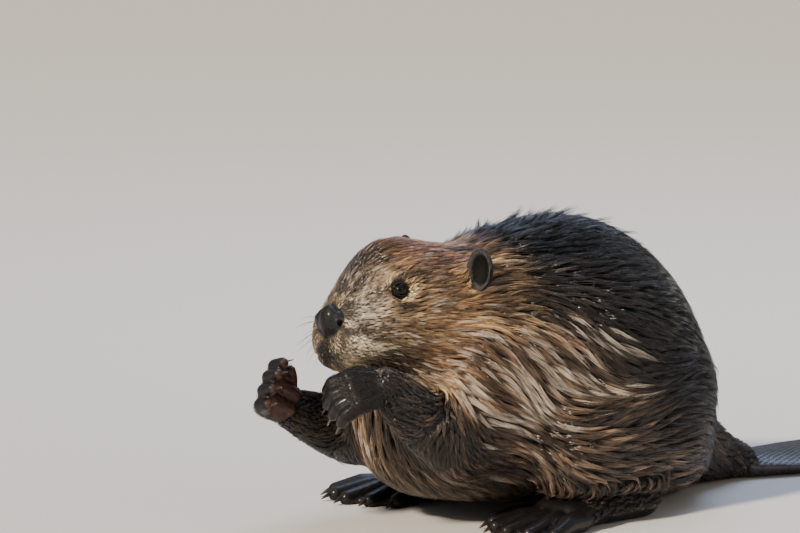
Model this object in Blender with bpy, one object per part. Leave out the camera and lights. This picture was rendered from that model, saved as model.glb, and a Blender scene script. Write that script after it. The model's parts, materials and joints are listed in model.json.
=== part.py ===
"""A life-size still model of a beaver sitting hunched with its forepaws held up before its mouth.

The animal faces -X with its left side at -Y, and it rests on the plane z = 0.
Soft volumes are lofted and hulled, fused into one smooth body, and the body is then
parted by thin cuts into the pieces that a person would name. All sizes are in metres.
"""

import math
from functools import partial

import bmesh
import bpy
from mathutils import Matrix, Vector

# ---------------------------------------------------------------- driving dimensions
GAP = 0.00035  # clearance between neighbouring pieces
BODY_VOXEL = 0.0042  # grid that fuses the large soft volumes
FINE_VOXEL = 0.0022  # grid that fuses the digits and the tail onto them
BODY_TRIANGLES = 3300  # facets of the fused body before it is parted
SINK = 0.0025  # how far feet, rump and tail reach below the floor before it trims them flat

TRUNK_LENGTH = 0.372
CHEST_X = -0.192
TRUNK_WIDTH = 0.268
BACK_HEIGHT = 0.2635

HEAD_BASE = Vector((-0.100, 0.0, 0.0))  # on the midline between the ears, at floor level
HEAD_TURN = math.radians(4.0)  # the head looks a little to its right
HEAD_LENGTH = 0.1295  # from the ears' line to the tip of the muzzle

EYE_RADIUS = 0.0072
EYE_AT = (0.0765, 0.0380, 0.2160)  # forward of the ears' line, sideways, above the floor
EAR_AT = (0.0015, 0.0560, 0.2295)
EAR_HALF_HEIGHT = 0.0195
EAR_HALF_WIDTH = 0.0145
EAR_HALF_DEPTH = 0.0060
NOSE_AT = (0.1235, 0.0, 0.1885)
NOSE_HALF = (0.0095, 0.0175, 0.0155)  # depth, width and height of the nose pad

TAIL_START_X = 0.150
TAIL_TIP_X = 0.500
TAIL_HALF_WIDTH = 0.060
TAIL_SWING = 0.018  # the tip lies this far to the animal's right

RING = 40  # points round a lofted section
FINE_SEGMENTS = 20  # round a ball whose facets melt into the body
COARSE_SEGMENTS = 10  # round a ball whose facets are kept
CLAW_RING = 7
CLAW_RINGS = 3
WEDGE_REACH = 0.20  # half the span of the wedges that part the body

COAT = (0.16, 0.095, 0.06, 1.0)
DARK_SKIN = (0.035, 0.028, 0.026, 1.0)
CLAW_HORN = (0.07, 0.055, 0.045, 1.0)
EYE_DARK = (0.01, 0.007, 0.006, 1.0)


# ---------------------------------------------------------------- small helpers
def clear_scene():
    for obj in list(bpy.data.objects):
        bpy.data.objects.remove(obj, do_unlink=True)


def material(name, colour, roughness):
    made = bpy.data.materials.new(name)
    made.use_nodes = True
    shader = made.node_tree.nodes["Principled BSDF"]
    shader.inputs["Base Color"].default_value = colour
    shader.inputs["Roughness"].default_value = roughness
    shader.inputs["Metallic"].default_value = 0.0
    return made


def object_from(name, bm):
    bmesh.ops.recalc_face_normals(bm, faces=bm.faces)
    mesh = bpy.data.meshes.new(name)
    bm.to_mesh(mesh)
    bm.free()
    obj = bpy.data.objects.new(name, mesh)
    bpy.context.scene.collection.objects.link(obj)
    return obj


def copy_of(obj, name):
    made = bpy.data.objects.new(name, obj.data.copy())
    bpy.context.scene.collection.objects.link(made)
    return made


def drop(obj):
    bpy.data.objects.remove(obj, do_unlink=True)


def bake_modifiers(obj):
    """Replaces the object's mesh by what its modifiers make of it."""
    graph = bpy.context.evaluated_depsgraph_get()
    made = bpy.data.meshes.new_from_object(obj.evaluated_get(graph))
    obj.modifiers.clear()
    obj.data = made


def join(name, objects):
    """One object that holds the shells of all these objects, which are removed."""
    bm = bmesh.new()
    for obj in objects:
        bm.from_mesh(obj.data)
        drop(obj)
    mesh = bpy.data.meshes.new(name)
    bm.to_mesh(mesh)
    bm.free()
    made = bpy.data.objects.new(name, mesh)
    bpy.context.scene.collection.objects.link(made)
    return made


def fuse(obj, voxel, rounds):
    """Melts overlapping shells into one surface and relaxes its creases."""
    remesh = obj.modifiers.new("fuse", "REMESH")
    remesh.mode = "VOXEL"
    remesh.voxel_size = voxel
    smooth = obj.modifiers.new("relax", "SMOOTH")
    smooth.factor = 0.5
    smooth.iterations = rounds
    bake_modifiers(obj)


def boolean(obj, cutter, operation):
    cut = obj.modifiers.new("cut", "BOOLEAN")
    cut.operation = operation
    cut.object = cutter
    cut.solver = "EXACT"
    bake_modifiers(obj)


# ---------------------------------------------------------------- shape makers
def spline(values, t):
    """Catmull-Rom value at t, counted in stations, through equal-length tuples."""
    last = len(values) - 1
    i = min(int(t), last - 1)
    u = t - i
    p0, p1 = values[max(i - 1, 0)], values[i]
    p2, p3 = values[i + 1], values[min(i + 2, last)]
    return [
        0.5 * (2 * b + (c - a) * u + (2 * a - 5 * b + 4 * c - d) * u * u
               + (3 * b - a - 3 * c + d) * u ** 3)
        for a, b, c, d in zip(p0, p1, p2, p3)
    ]


def ring(bm, centre, side, up, half_width, rise, fall, round_up, round_down, count):
    """A closed section: a superellipse with its own height and roundness above and below."""
    verts = []
    for k in range(count):
        angle = 2 * math.pi * k / count
        c, s = math.cos(angle), math.sin(angle)
        power = 2.0 / (round_up if s > 0 else round_down)
        out = math.copysign(abs(c) ** power, c) * half_width
        lift = math.copysign(abs(s) ** power, s) * (rise if s > 0 else fall)
        verts.append(bm.verts.new(centre + side * out + up * lift))
    return verts


def skin_rings(bm, rings, start, end):
    """Closes a row of rings into a solid whose ends are the points start and end."""
    count = len(rings[0])
    for a, b in zip(rings, rings[1:]):
        for k in range(count):
            bm.faces.new((a[k], a[(k + 1) % count], b[(k + 1) % count], b[k]))
    for row, tip in ((rings[0], start), (rings[-1], end)):
        pole = bm.verts.new(tip)
        for k in range(count):
            bm.faces.new((row[k], row[(k + 1) % count], pole))


def section_loft(name, stations, origin, forward, steps=4):
    """Lofts upright sections along a level line.

    A station is (distance along forward, half width, bottom, top, share of the height
    where it is widest, roundness above, roundness below, sideways shift).
    """
    side = Vector((0, 0, 1)).cross(forward)
    up = Vector((0, 0, 1))
    bm = bmesh.new()
    rings, middles = [], []
    count = (len(stations) - 1) * steps
    for k in range(count + 1):
        along, half, low, high, share, round_up, round_down, shift = spline(stations, k / steps)
        belt = low + (high - low) * share
        centre = origin + forward * along + side * shift + up * belt
        middles.append(centre)
        rings.append(ring(bm, centre, side, up, half, high - belt, belt - low,
                          round_up, round_down, RING))
    skin_rings(bm, rings, middles[0], middles[-1])
    return object_from(name, bm)


def ball_verts(bm, centre, radii, turn=None, segments=FINE_SEGMENTS):
    made = bmesh.ops.create_uvsphere(bm, u_segments=segments, v_segments=segments * 2 // 3,
                                     radius=1.0)["verts"]
    place = Matrix.Translation(centre)
    if turn is not None:
        place = place @ turn.to_4x4()
    place = place @ Matrix.Diagonal((*radii, 1.0))
    bmesh.ops.transform(bm, matrix=place, verts=made)
    return made


def three(radius):
    return radius if isinstance(radius, tuple) else (radius, radius, radius)


def ball(name, centre, radii, turn=None, segments=FINE_SEGMENTS):
    bm = bmesh.new()
    ball_verts(bm, Vector(centre), three(radii), turn, segments)
    return object_from(name, bm)


def hull_of(name, balls, segments=FINE_SEGMENTS):
    """The tight wrapping of several balls, each (centre, radius or three radii)."""
    cloud = bmesh.new()
    for centre, radius in balls:
        ball_verts(cloud, Vector(centre), three(radius), segments=segments)
    bm = bmesh.new()
    for vert in cloud.verts:
        bm.verts.new(vert.co)
    cloud.free()
    hull = bmesh.ops.convex_hull(bm, input=bm.verts)
    spare = {g for key in ("geom_interior", "geom_unused") for g in hull[key]
             if isinstance(g, bmesh.types.BMVert)}
    bmesh.ops.delete(bm, geom=list(spare), context="VERTS")
    return object_from(name, bm)


def limb(name, joints):
    """A chain of tapered hulls. A joint is (centre, radius or three radii)."""
    pieces = [hull_of(name, pair) for pair in zip(joints, joints[1:])]
    return join(name, pieces) if len(pieces) > 1 else pieces[0]


# ---------------------------------------------------------------- head frame
FORWARD = Vector((-math.cos(HEAD_TURN), math.sin(HEAD_TURN), 0.0))
TO_LEFT = Vector((-math.sin(HEAD_TURN), -math.cos(HEAD_TURN), 0.0))


def on_head(forward, left, height):
    """A point given from the ears' line, in the head's own directions."""
    return HEAD_BASE + FORWARD * forward + TO_LEFT * left + Vector((0, 0, height))


# ---------------------------------------------------------------- body volumes
def trunk_volume():
    half = TRUNK_WIDTH / 2
    # distance behind the chest as a share of the length, half width as a share, bottom, top
    profile = (
        (0.000, 0.12, 0.098, 0.128), (0.030, 0.36, 0.062, 0.158), (0.090, 0.54, 0.038, 0.190),
        (0.170, 0.67, 0.024, 0.220), (0.270, 0.77, 0.016, 0.243), (0.390, 0.86, 0.011, 0.256),
        (0.510, 0.95, 0.008, 0.2615), (0.625, 1.00, 0.004, BACK_HEIGHT),
        (0.735, 0.98, 0.000, 0.2520), (0.835, 0.86, -SINK, 0.2260), (0.915, 0.67, -SINK, 0.1880),
        (0.970, 0.44, 0.002, 0.1480), (1.000, 0.14, 0.050, 0.1050),
    )
    stations = [
        (share * TRUNK_LENGTH, width * half, low, high, 0.38, 2.05, 2.3, 0.0)
        for share, width, low, high in profile
    ]
    return section_loft("trunk_volume", stations, Vector((CHEST_X, 0, 0)), Vector((1, 0, 0)))


def head_volume():
    # forward of the ears' line, half width, bottom, top, share of height at the widest
    profile = (
        (-0.062, 0.074, 0.080, 0.2440, 0.42), (-0.034, 0.079, 0.090, 0.2480, 0.40),
        (-0.008, 0.075, 0.104, 0.2475, 0.37), (0.014, 0.0705, 0.116, 0.2510, 0.35),
        (0.038, 0.0665, 0.125, 0.2570, 0.33), (0.060, 0.0615, 0.130, 0.2590, 0.32),
        (0.079, 0.0540, 0.1335, 0.2535, 0.33), (0.094, 0.0465, 0.1360, 0.2400, 0.35),
        (0.107, 0.0395, 0.1375, 0.2240, 0.38), (0.117, 0.0345, 0.1400, 0.2100, 0.42),
        (0.1245, 0.0285, 0.1445, 0.2010, 0.46), (HEAD_LENGTH, 0.0165, 0.1540, 0.1915, 0.50),
    )
    stations = [
        (along, half, low, high, share, 1.75, 2.1, 0.0)
        for along, half, low, high, share in profile
    ]
    return section_loft("head_volume", stations, HEAD_BASE, FORWARD)


def haunch_volume(side):
    """The folded hind leg's hip, knee and shank. Side is -1 on the left, 1 on the right."""
    hip = ((0.072, 0.070 * side, 0.100), (0.080, 0.062, 0.085))
    knee = ((-0.026, 0.098 * side, 0.068), (0.050, 0.042, 0.050))
    heel = ((0.036, 0.108 * side, 0.026), (0.030, 0.023, 0.024))
    return join("haunch_volume", [
        hull_of("hip_to_knee", (hip, knee)),
        hull_of("knee_to_heel", (knee, heel)),
    ])


def shoulder_volume(side):
    shoulder = ((-0.095, 0.062 * side, 0.140), (0.058, 0.038, 0.062))
    elbow = ((-0.140, 0.070 * side, 0.080), (0.036, 0.028, 0.038))
    return hull_of("shoulder_volume", (shoulder, elbow))


def tail_root_volume():
    return limb("tail_root_volume", (
        ((TAIL_START_X - 0.020, 0, 0.070), (0.060, 0.075, 0.070)),
        ((TAIL_START_X + 0.030, 0, 0.038), (0.036, 0.048, 0.040)),
        ((TAIL_START_X + 0.075, 0.001, 0.022), (0.026, 0.033, 0.0235)),
        ((TAIL_START_X + 0.110, 0.002, 0.013), (0.022, 0.030, 0.0145)),
        ((TAIL_START_X + 0.160, 0.004, 0.008), (0.022, 0.034, 0.0095)),
    ))


def soft_body():
    volumes = [trunk_volume(), head_volume(), tail_root_volume()]
    for side in (-1, 1):
        volumes += [haunch_volume(side), shoulder_volume(side)]
    body = join("body", volumes)
    fuse(body, BODY_VOXEL, 14)
    return body


# ---------------------------------------------------------------- tail paddle
def tail_paddle_volume():
    start = TAIL_START_X + 0.095
    length = TAIL_TIP_X - start
    # share of the length, share of the half width, half thickness
    outline = (
        (0.00, 0.46, 0.0125), (0.10, 0.62, 0.0115), (0.24, 0.84, 0.0105), (0.42, 0.98, 0.0098),
        (0.60, 1.00, 0.0090), (0.76, 0.92, 0.0080), (0.88, 0.72, 0.0068), (0.96, 0.44, 0.0058),
        (1.00, 0.12, 0.0045),
    )
    stations = [
        (share * length, width * TAIL_HALF_WIDTH, -SINK, 2 * thick - SINK, 0.5, 1.75, 1.75,
         TAIL_SWING * share ** 2)
        for share, width, thick in outline
    ]
    return section_loft("tail_paddle_volume", stations, Vector((start, 0, 0)), Vector((1, 0, 0)))


# ---------------------------------------------------------------- feet
class Digit:
    """A finger or toe: its joints with their radii, and the line of its claw."""

    def __init__(self, name, joints, claw_length, claw_radius, bend, droop):
        self.name = name
        self.joints = joints
        self.claw_length = claw_length
        self.claw_radius = claw_radius
        self.bend = bend  # share of its length that the claw falls towards droop
        self.droop = droop

    def volume(self):
        return limb(self.name, self.joints)

    def claw(self, grow=0.0):
        """A curved tapering horn, rooted inside the last joint."""
        tip, radius = Vector(self.joints[-1][0]), self.joints[-1][1]
        along = (tip - Vector(self.joints[-2][0])).normalized()
        down = self.droop.normalized()
        across = along.cross(down).normalized()
        start = tip - down * radius * 0.25
        bm = bmesh.new()
        rings = []
        for k in range(CLAW_RINGS):
            t = k / CLAW_RINGS
            fall = down * self.claw_length * self.bend * t * t
            centre = start + along * self.claw_length * t + fall
            size = self.claw_radius * (1 - 0.75 * t ** 1.3) + grow
            rings.append(ring(bm, centre, across, -down, size * 0.82, size, size, 2, 2, CLAW_RING))
        end = start + along * (self.claw_length + 2 * grow) + down * self.claw_length * self.bend
        skin_rings(bm, rings, start - along * (0.001 + grow), end)
        return object_from("claw", bm)


def hind_foot(side):
    """The webbed hind foot flat on the floor, and its five toes."""
    heel = Vector((0.040, 0.106 * side, 0.016))
    ball_of_foot = Vector((-0.054, 0.103 * side, 0.0125))
    sole = hull_of("sole", (
        (heel, (0.020, 0.017, 0.0185)),
        (heel.lerp(ball_of_foot, 0.5), (0.024, 0.021, 0.0180)),
        (ball_of_foot + Vector((0, -0.017 * side, 0)), (0.016, 0.013, 0.0140)),
        (ball_of_foot + Vector((0, 0.018 * side, 0)), (0.016, 0.013, 0.0140)),
    ))
    toes, web_balls = [], []
    lengths = (0.048, 0.061, 0.069, 0.065, 0.053)
    for k, length in enumerate(lengths):
        share = k / (len(lengths) - 1)
        fan = math.radians(-12 + 36 * share) * side
        root = ball_of_foot + Vector((0.002, (-0.026 + 0.052 * share) * side, -0.004))
        along = Vector((-math.cos(fan), math.sin(fan), 0))
        knuckle = root + along * length * 0.52 + Vector((0, 0, 0.0020))
        tip = root + along * length + Vector((0, 0, -0.0030))
        joints = ((root, 0.0100), (knuckle, 0.0090), (tip, 0.0070))
        toes.append(Digit(f"toe_{k + 1}", joints, 0.015, 0.0036, 0.20, Vector((0, 0, -1))))
        web_balls.append((root, (0.006, 0.006, 0.005), tip - along * 0.006))
    webs = []
    for (root_a, size, tip_a), (root_b, _, tip_b) in zip(web_balls, web_balls[1:]):
        level = Vector((1, 1, 0))
        corners = [point * level + Vector((0, 0, 0.0030)) for point in (root_a, tip_a, tip_b, root_b)]
        webs.append(hull_of("web", [(corner, (0.003, 0.003, 0.0026)) for corner in corners]))
    shapes = [sole, *webs, *(toe.volume() for toe in toes)]
    return shapes, toes


def fore_paw(side, wrist, palm_way, palm_faces, spread, curl, reach):
    """A forepaw from its wrist: a palm, four curled fingers and a short thumb.

    palm_way points from wrist to knuckles, palm_faces out of the palm, spread is the fan
    in degrees, curl how far the fingers bend towards the palm and reach the length of
    the longest finger.
    """
    way = palm_way.normalized()
    inner = (palm_faces - way * palm_faces.dot(way)).normalized()
    across = inner.cross(way) * side  # from the first finger to the last
    knuckles = wrist + way * 0.030
    palm = hull_of("palm", (
        (wrist, 0.0165),
        (knuckles - across * 0.0125, (0.0100, 0.0100, 0.0110)),
        (knuckles + across * 0.0125, (0.0100, 0.0100, 0.0110)),
    ))
    digits = []
    shares = (0.86, 1.0, 0.96, 0.78)
    for k, share in enumerate(shares):
        place = k / (len(shares) - 1) - 0.5
        fan = math.radians(spread) * place
        root = knuckles + across * 0.029 * place
        line = (way * math.cos(fan) + across * math.sin(fan)).normalized()
        length = reach * share
        first = (line * math.cos(curl * 0.6) + inner * math.sin(curl * 0.6)).normalized()
        second = (line * math.cos(curl * 1.5) + inner * math.sin(curl * 1.5)).normalized()
        bend = root + first * length * 0.55
        tip = bend + second * length * 0.45
        joints = ((root, 0.0075), (bend, 0.0066), (tip, 0.0054))
        digits.append(Digit(f"finger_{k + 2}", joints, 0.0125, 0.0029, 0.35, inner))
    thumb_root = wrist + way * 0.012 - across * 0.013
    thumb_mid = thumb_root - across * 0.009 + way * 0.006 + inner * 0.004
    thumb_tip = thumb_mid - across * 0.002 + way * 0.008 + inner * 0.006
    digits.insert(0, Digit("finger_1", ((thumb_root, 0.0080), (thumb_mid, 0.0062),
                                        (thumb_tip, 0.0050)), 0.0080, 0.0024, 0.35, inner))
    return [palm, *(digit.volume() for digit in digits)], digits


FORE = {
    -1: {
        "elbow": Vector((-0.148, -0.068, 0.080)),
        "wrist": Vector((-0.2120, -0.0540, 0.1360)),
        "way": Vector((-0.86, 0.30, -0.10)),
        "faces": Vector((0.10, 0.72, -0.66)),
        "spread": 26.0, "curl": math.radians(52), "reach": 0.031,
    },
    1: {
        "elbow": Vector((-0.148, 0.068, 0.072)),
        "wrist": Vector((-0.2330, 0.0490, 0.1060)),
        "way": Vector((-0.80, 0.00, 0.56)),
        "faces": Vector((0.22, -0.95, 0.05)),
        "spread": 44.0, "curl": math.radians(50), "reach": 0.032,
    },
}


def fore_limb(side):
    """The raised forearm with its paw."""
    make = FORE[side]
    forearm = limb("forearm", (
        (make["elbow"], 0.0300),
        (make["elbow"].lerp(make["wrist"], 0.5), 0.0255),
        (make["wrist"], 0.0185),
    ))
    shapes, digits = fore_paw(side, make["wrist"], make["way"], make["faces"],
                              make["spread"], make["curl"], make["reach"])
    return [forearm, *shapes], digits


# ---------------------------------------------------------------- head pieces
def ear(name, side, grow=0.0):
    """A round cupped ear rooted in the side of the head. Side is 1 on the left."""
    forward, out, height = EAR_AT
    place = on_head(forward, out * side, height)
    face = (FORWARD * 0.97 + TO_LEFT * 0.20 * side + Vector((0, 0, 0.08))).normalized()
    reach = (TO_LEFT * side - face * face.dot(TO_LEFT * side)).normalized()
    rise = face.cross(reach).normalized()
    turn = Matrix((face, reach, rise)).transposed()
    shell = ball(name, place, (EAR_HALF_DEPTH + grow, EAR_HALF_WIDTH + grow,
                               EAR_HALF_HEIGHT + grow), turn, COARSE_SEGMENTS)
    if grow == 0.0:
        hollow_at = place + face * (EAR_HALF_DEPTH * 1.15) + reach * 0.0015
        hollow = ball("hollow", hollow_at,
                      (EAR_HALF_DEPTH * 1.05, EAR_HALF_WIDTH * 0.80, EAR_HALF_HEIGHT * 0.82),
                      turn, COARSE_SEGMENTS)
        boolean(shell, hollow, "DIFFERENCE")
        drop(hollow)
    return shell


def eyeball(name, side, grow=0.0):
    forward, out, height = EYE_AT
    return ball(name, on_head(forward, out * side, height), EYE_RADIUS + grow,
                segments=COARSE_SEGMENTS)


def nose_pad(name, grow=0.0):
    depth, width, height = NOSE_HALF
    turn = Matrix((FORWARD, TO_LEFT, Vector((0, 0, 1)))).transposed()
    return ball(name, on_head(*NOSE_AT), (depth + grow, width + grow, height + grow), turn,
                COARSE_SEGMENTS)


# ---------------------------------------------------------------- parting
def wedge(outline, grow, lean):
    """A solid that stands on an outline in the XZ plane and spans the whole body.

    It is moved by grow along each axis of lean, which sets back or advances its cut.
    """
    bm = bmesh.new()
    ends = []
    for y in (-WEDGE_REACH, WEDGE_REACH):
        ends.append([bm.verts.new((x + grow * lean[0], y, z + grow * lean[1]))
                     for x, z in outline])
    count = len(outline)
    for k in range(count):
        bm.faces.new((ends[0][k], ends[0][(k + 1) % count],
                      ends[1][(k + 1) % count], ends[1][k]))
    bm.faces.new(ends[0])
    bm.faces.new(ends[1])
    return object_from("wedge", bm)


def wrap(balls, grow):
    """A hull of balls whose radii all grow by the same length."""
    return hull_of("wrap", [
        (centre, tuple(size + grow for size in three(radius))) for centre, radius in balls
    ], COARSE_SEGMENTS)


def islands(obj):
    """The separate bodies of a mesh, as new objects, largest first."""
    bm = bmesh.new()
    bm.from_mesh(obj.data)
    left = set(bm.verts)
    groups = []
    while left:
        stack = [left.pop()]
        group = set(stack)
        while stack:
            for edge in stack.pop().link_edges:
                for vert in edge.verts:
                    if vert in left:
                        left.discard(vert)
                        group.add(vert)
                        stack.append(vert)
        groups.append({vert.index for vert in group})
    bm.free()
    made = []
    for group in groups:
        part = bmesh.new()
        part.from_mesh(obj.data)
        spare = [vert for vert in part.verts if vert.index not in group]
        bmesh.ops.delete(part, geom=spare, context="VERTS")
        made.append((part.calc_volume(), object_from("island", part)))
    made.sort(key=lambda pair: -pair[0])
    return [obj for _, obj in made]


def nearest(objects, anchor):
    def away(obj):
        return min((vert.co - anchor).length for vert in obj.data.vertices)
    return min(objects, key=away)


def part_off(body, shape, name, anchor):
    """Parts off what lies in a shape, leaving a thin gap. Returns the rest of the body.

    shape takes a length to grow by. The piece nearest to anchor becomes name.
    """
    inner, outer = shape(-GAP / 2), shape(GAP / 2)
    inside = copy_of(body, "inside")
    boolean(inside, inner, "INTERSECT")
    boolean(body, outer, "DIFFERENCE")
    drop(inner)
    drop(outer)
    pieces, rests = islands(inside), islands(body)
    drop(inside)
    drop(body)
    piece = nearest(pieces, Vector(anchor))
    for obj in pieces + rests[1:]:
        if obj is not piece:
            drop(obj)
    piece.name = name
    rests[0].name = "body"
    return rests[0]


def trim_floor(body):
    """Takes away what lies below the floor, which leaves flat soles."""
    bm = bmesh.new()
    bmesh.ops.create_cube(bm, size=1.0)
    bmesh.ops.scale(bm, verts=bm.verts, vec=(2.0, 1.0, 0.2))
    bmesh.ops.translate(bm, verts=bm.verts, vec=(0, 0, -0.1))
    floor = object_from("floor_cutter", bm)
    boolean(body, floor, "DIFFERENCE")
    drop(floor)


def seat(body, maker, name, *args):
    """Sinks a separate piece into the body, in a pocket that clears it all round."""
    pocket = maker("pocket", *args, grow=GAP)
    boolean(body, pocket, "DIFFERENCE")
    drop(pocket)
    return maker(name, *args)


def claws_of(body, digits, prefix):
    """Seats a claw in the tip of each digit."""
    made = []
    for digit in digits:
        pocket = digit.claw(grow=GAP)
        boolean(body, pocket, "DIFFERENCE")
        drop(pocket)
        claw = digit.claw()
        claw.name = f"claw_{prefix}_{digit.name.split('_')[1]}"
        made.append(claw)
    return made


def finish(obj, look):
    obj.data.materials.clear()
    obj.data.materials.append(look)
    obj.data.shade_smooth()
    obj.data.set_sharp_from_angle(angle=math.radians(40))


def main():
    clear_scene()
    looks = {
        "coat": material("coat", COAT, 0.55),
        "skin": material("dark_skin", DARK_SKIN, 0.5),
        "horn": material("claw_horn", CLAW_HORN, 0.4),
        "eye": material("eye_dark", EYE_DARK, 0.08),
    }
    shapes = [soft_body(), tail_paddle_volume()]
    digits = {}
    for side, hand in ((-1, "left"), (1, "right")):
        foot_shapes, digits[f"hind_{hand}"] = hind_foot(side)
        paw_shapes, digits[f"fore_{hand}"] = fore_limb(side)
        shapes += foot_shapes + paw_shapes
    body = join("body", shapes)
    fuse(body, FINE_VOXEL, 4)
    facets = sum(len(face.vertices) - 2 for face in body.data.polygons)
    thin_out = body.modifiers.new("facets", "DECIMATE")
    thin_out.ratio = BODY_TRIANGLES / facets
    bake_modifiers(body)
    trim_floor(body)

    horn, gloss, bare = [], [], []
    for limb_name, row in digits.items():
        horn += claws_of(body, row, limb_name)
    for side, hand in ((1, "left"), (-1, "right")):
        gloss.append(seat(body, eyeball, f"eye_{hand}", side))
        bare.append(seat(body, ear, f"ear_{hand}", side))
    bare.append(seat(body, nose_pad, "nose_pad"))

    body = part_limbs(body)
    body = part_trunk(body)
    body.name = "trunk"
    for obj in bpy.context.scene.collection.objects:
        if obj in horn:
            finish(obj, looks["horn"])
        elif obj in gloss:
            finish(obj, looks["eye"])
        elif obj in bare or "paw" in obj.name or "foot" in obj.name or "paddle" in obj.name:
            finish(obj, looks["skin"])
        else:
            finish(obj, looks["coat"])
    centre_on_floor()


def part_limbs(body):
    """Parts paws, forearms, feet and haunches from the body."""
    for side, hand in ((-1, "left"), (1, "right")):
        make = FORE[side]
        wrist, elbow, way = make["wrist"], make["elbow"], make["way"].normalized()
        palm_at, palm_end = wrist + way * 0.034, wrist + way * 0.052
        glove = ((palm_at, (0.036, 0.033, 0.034)), (palm_end, (0.036, 0.034, 0.036)))
        sleeve = ((elbow + Vector((0.006, 0, 0)), 0.0355), (wrist, 0.0255))
        sock = (((0.038, 0.110 * side, 0.000), (0.036, 0.045, 0.0270)),
                ((-0.095, 0.110 * side, 0.000), (0.075, 0.070, 0.0300)))
        thigh = (((0.070, 0.116 * side, 0.085), (0.078, 0.062, 0.088)),
                 ((-0.018, 0.116 * side, 0.068), (0.060, 0.047, 0.060)))
        cuts = (
            (glove, f"forepaw_{hand}", palm_end),
            (sleeve, f"forearm_{hand}", elbow.lerp(wrist, 0.85)),
            (sock, f"hind_foot_{hand}", (-0.09, 0.110 * side, 0.010)),
            (thigh, f"haunch_{hand}", (0.06, 0.134 * side, 0.090)),
        )
        for balls, name, anchor in cuts:
            body = part_off(body, partial(wrap, balls), name, anchor)
    return body


def part_trunk(body):
    """Parts head, neck and tail from the trunk."""
    head = [(-0.060, 0.300), (-0.132, 0.112), (-0.320, 0.112), (-0.320, 0.300)]
    neck = [(-0.020, 0.300), (-0.106, 0.092), (-0.320, 0.092), (-0.320, 0.300)]
    paddle = [(0.262, 0.100), (0.600, 0.100), (0.600, -0.100), (0.262, -0.100)]
    root = [(0.186, 0.300), (0.600, 0.300), (0.600, -0.100), (0.186, -0.100)]
    cuts = (
        (head, (1, -1), "head", on_head(0.10, 0, 0.20)),
        (neck, (1, -1), "neck", (-0.10, 0, 0.20)),
        (paddle, (-1, 0), "tail_paddle", (0.40, 0, 0.01)),
        (root, (-1, 0), "tail_root", (0.24, 0, 0.03)),
    )
    for outline, lean, name, anchor in cuts:
        body = part_off(body, partial(wedge, outline, lean=lean), name, anchor)
    return body


def centre_on_floor():
    """Moves the model so that its box stands centred over the origin."""
    objects = list(bpy.context.scene.collection.objects)
    corners = [vert.co for obj in objects for vert in obj.data.vertices]
    low = Vector(min(c[k] for c in corners) for k in range(3))
    high = Vector(max(c[k] for c in corners) for k in range(3))
    shift = Vector((-(low.x + high.x) / 2, -(low.y + high.y) / 2, -low.z))
    for obj in objects:
        obj.data.transform(Matrix.Translation(shift))
    print("moved by", [round(value, 5) for value in shift])


if __name__ == "__main__":
    main()
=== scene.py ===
"""A life-size beaver for a museum floor: one skin, a wet coat of mesh locks, eyes, claws and whiskers.

The animal faces -X, its left side is at -Y, and it sits on the plane z = 0.
"""

import json
import logging
import math
from collections.abc import Callable
from dataclasses import dataclass, field
from enum import Enum
from typing import ClassVar

import bmesh
import bpy
import numpy as np
from bpy.types import ID, Material, Node, NodeSocket, NodeTree, Object
from mathutils import Matrix, Vector
from mathutils.bvhtree import BVHTree
from mathutils.kdtree import KDTree

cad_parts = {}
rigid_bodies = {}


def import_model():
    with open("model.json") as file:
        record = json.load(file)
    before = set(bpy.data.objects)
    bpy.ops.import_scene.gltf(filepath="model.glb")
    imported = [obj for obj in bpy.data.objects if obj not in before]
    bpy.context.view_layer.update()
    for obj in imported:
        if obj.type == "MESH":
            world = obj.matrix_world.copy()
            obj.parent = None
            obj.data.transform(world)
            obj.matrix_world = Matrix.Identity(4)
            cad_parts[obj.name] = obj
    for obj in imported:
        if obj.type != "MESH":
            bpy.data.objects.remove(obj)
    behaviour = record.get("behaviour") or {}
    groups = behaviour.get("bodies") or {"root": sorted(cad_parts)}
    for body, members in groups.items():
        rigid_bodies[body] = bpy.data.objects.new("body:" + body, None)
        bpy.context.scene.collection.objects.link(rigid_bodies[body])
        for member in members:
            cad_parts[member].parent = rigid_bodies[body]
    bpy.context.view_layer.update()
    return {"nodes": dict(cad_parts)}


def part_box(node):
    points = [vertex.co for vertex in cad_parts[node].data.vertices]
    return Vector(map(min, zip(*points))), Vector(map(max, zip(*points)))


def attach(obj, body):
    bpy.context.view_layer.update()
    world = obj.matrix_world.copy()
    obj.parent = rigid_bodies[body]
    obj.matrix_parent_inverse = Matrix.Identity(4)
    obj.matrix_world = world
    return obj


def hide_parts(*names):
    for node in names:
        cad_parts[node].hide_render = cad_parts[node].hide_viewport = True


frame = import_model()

logging.basicConfig(level=logging.INFO, format="%(message)s")
LOG = logging.getLogger("beaver")

Rows = np.ndarray
Dice = np.random.Generator

MM = 0.001
UP = np.array((0.0, 0.0, 1.0))
SIDES = {"left": -1, "right": 1}  # sign of Y on each side
HORN_FLOOR = 0.1 * MM  # claws and plates stay this far above the floor
HAIR_FLOOR = 0.25 * MM
PATCH_HALF = 0.0015  # half of the patch that one tuft or plate takes on the unwrap


# ------------ colours and numbers
def linear(code: str) -> Rows:
    """Turns an sRGB hex code into linear light."""
    srgb = np.array([int(code[k:k + 2], 16) / 255 for k in (1, 3, 5)])
    return np.where(srgb <= 0.04045, srgb / 12.92, ((srgb + 0.055) / 1.055) ** 2.4)


def rgba(code: str) -> tuple[float, float, float, float]:
    """Gives a hex colour as the four linear numbers that a socket takes."""
    return (*(float(value) for value in linear(code)), 1.0)


def ease(low: float, high: float, value: Rows) -> Rows:
    """Rises smoothly from 0 at low to 1 at high, or falls if low is above high."""
    t = np.clip((value - low) / (high - low), 0.0, 1.0)
    return t * t * (3 - 2 * t)


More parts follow.
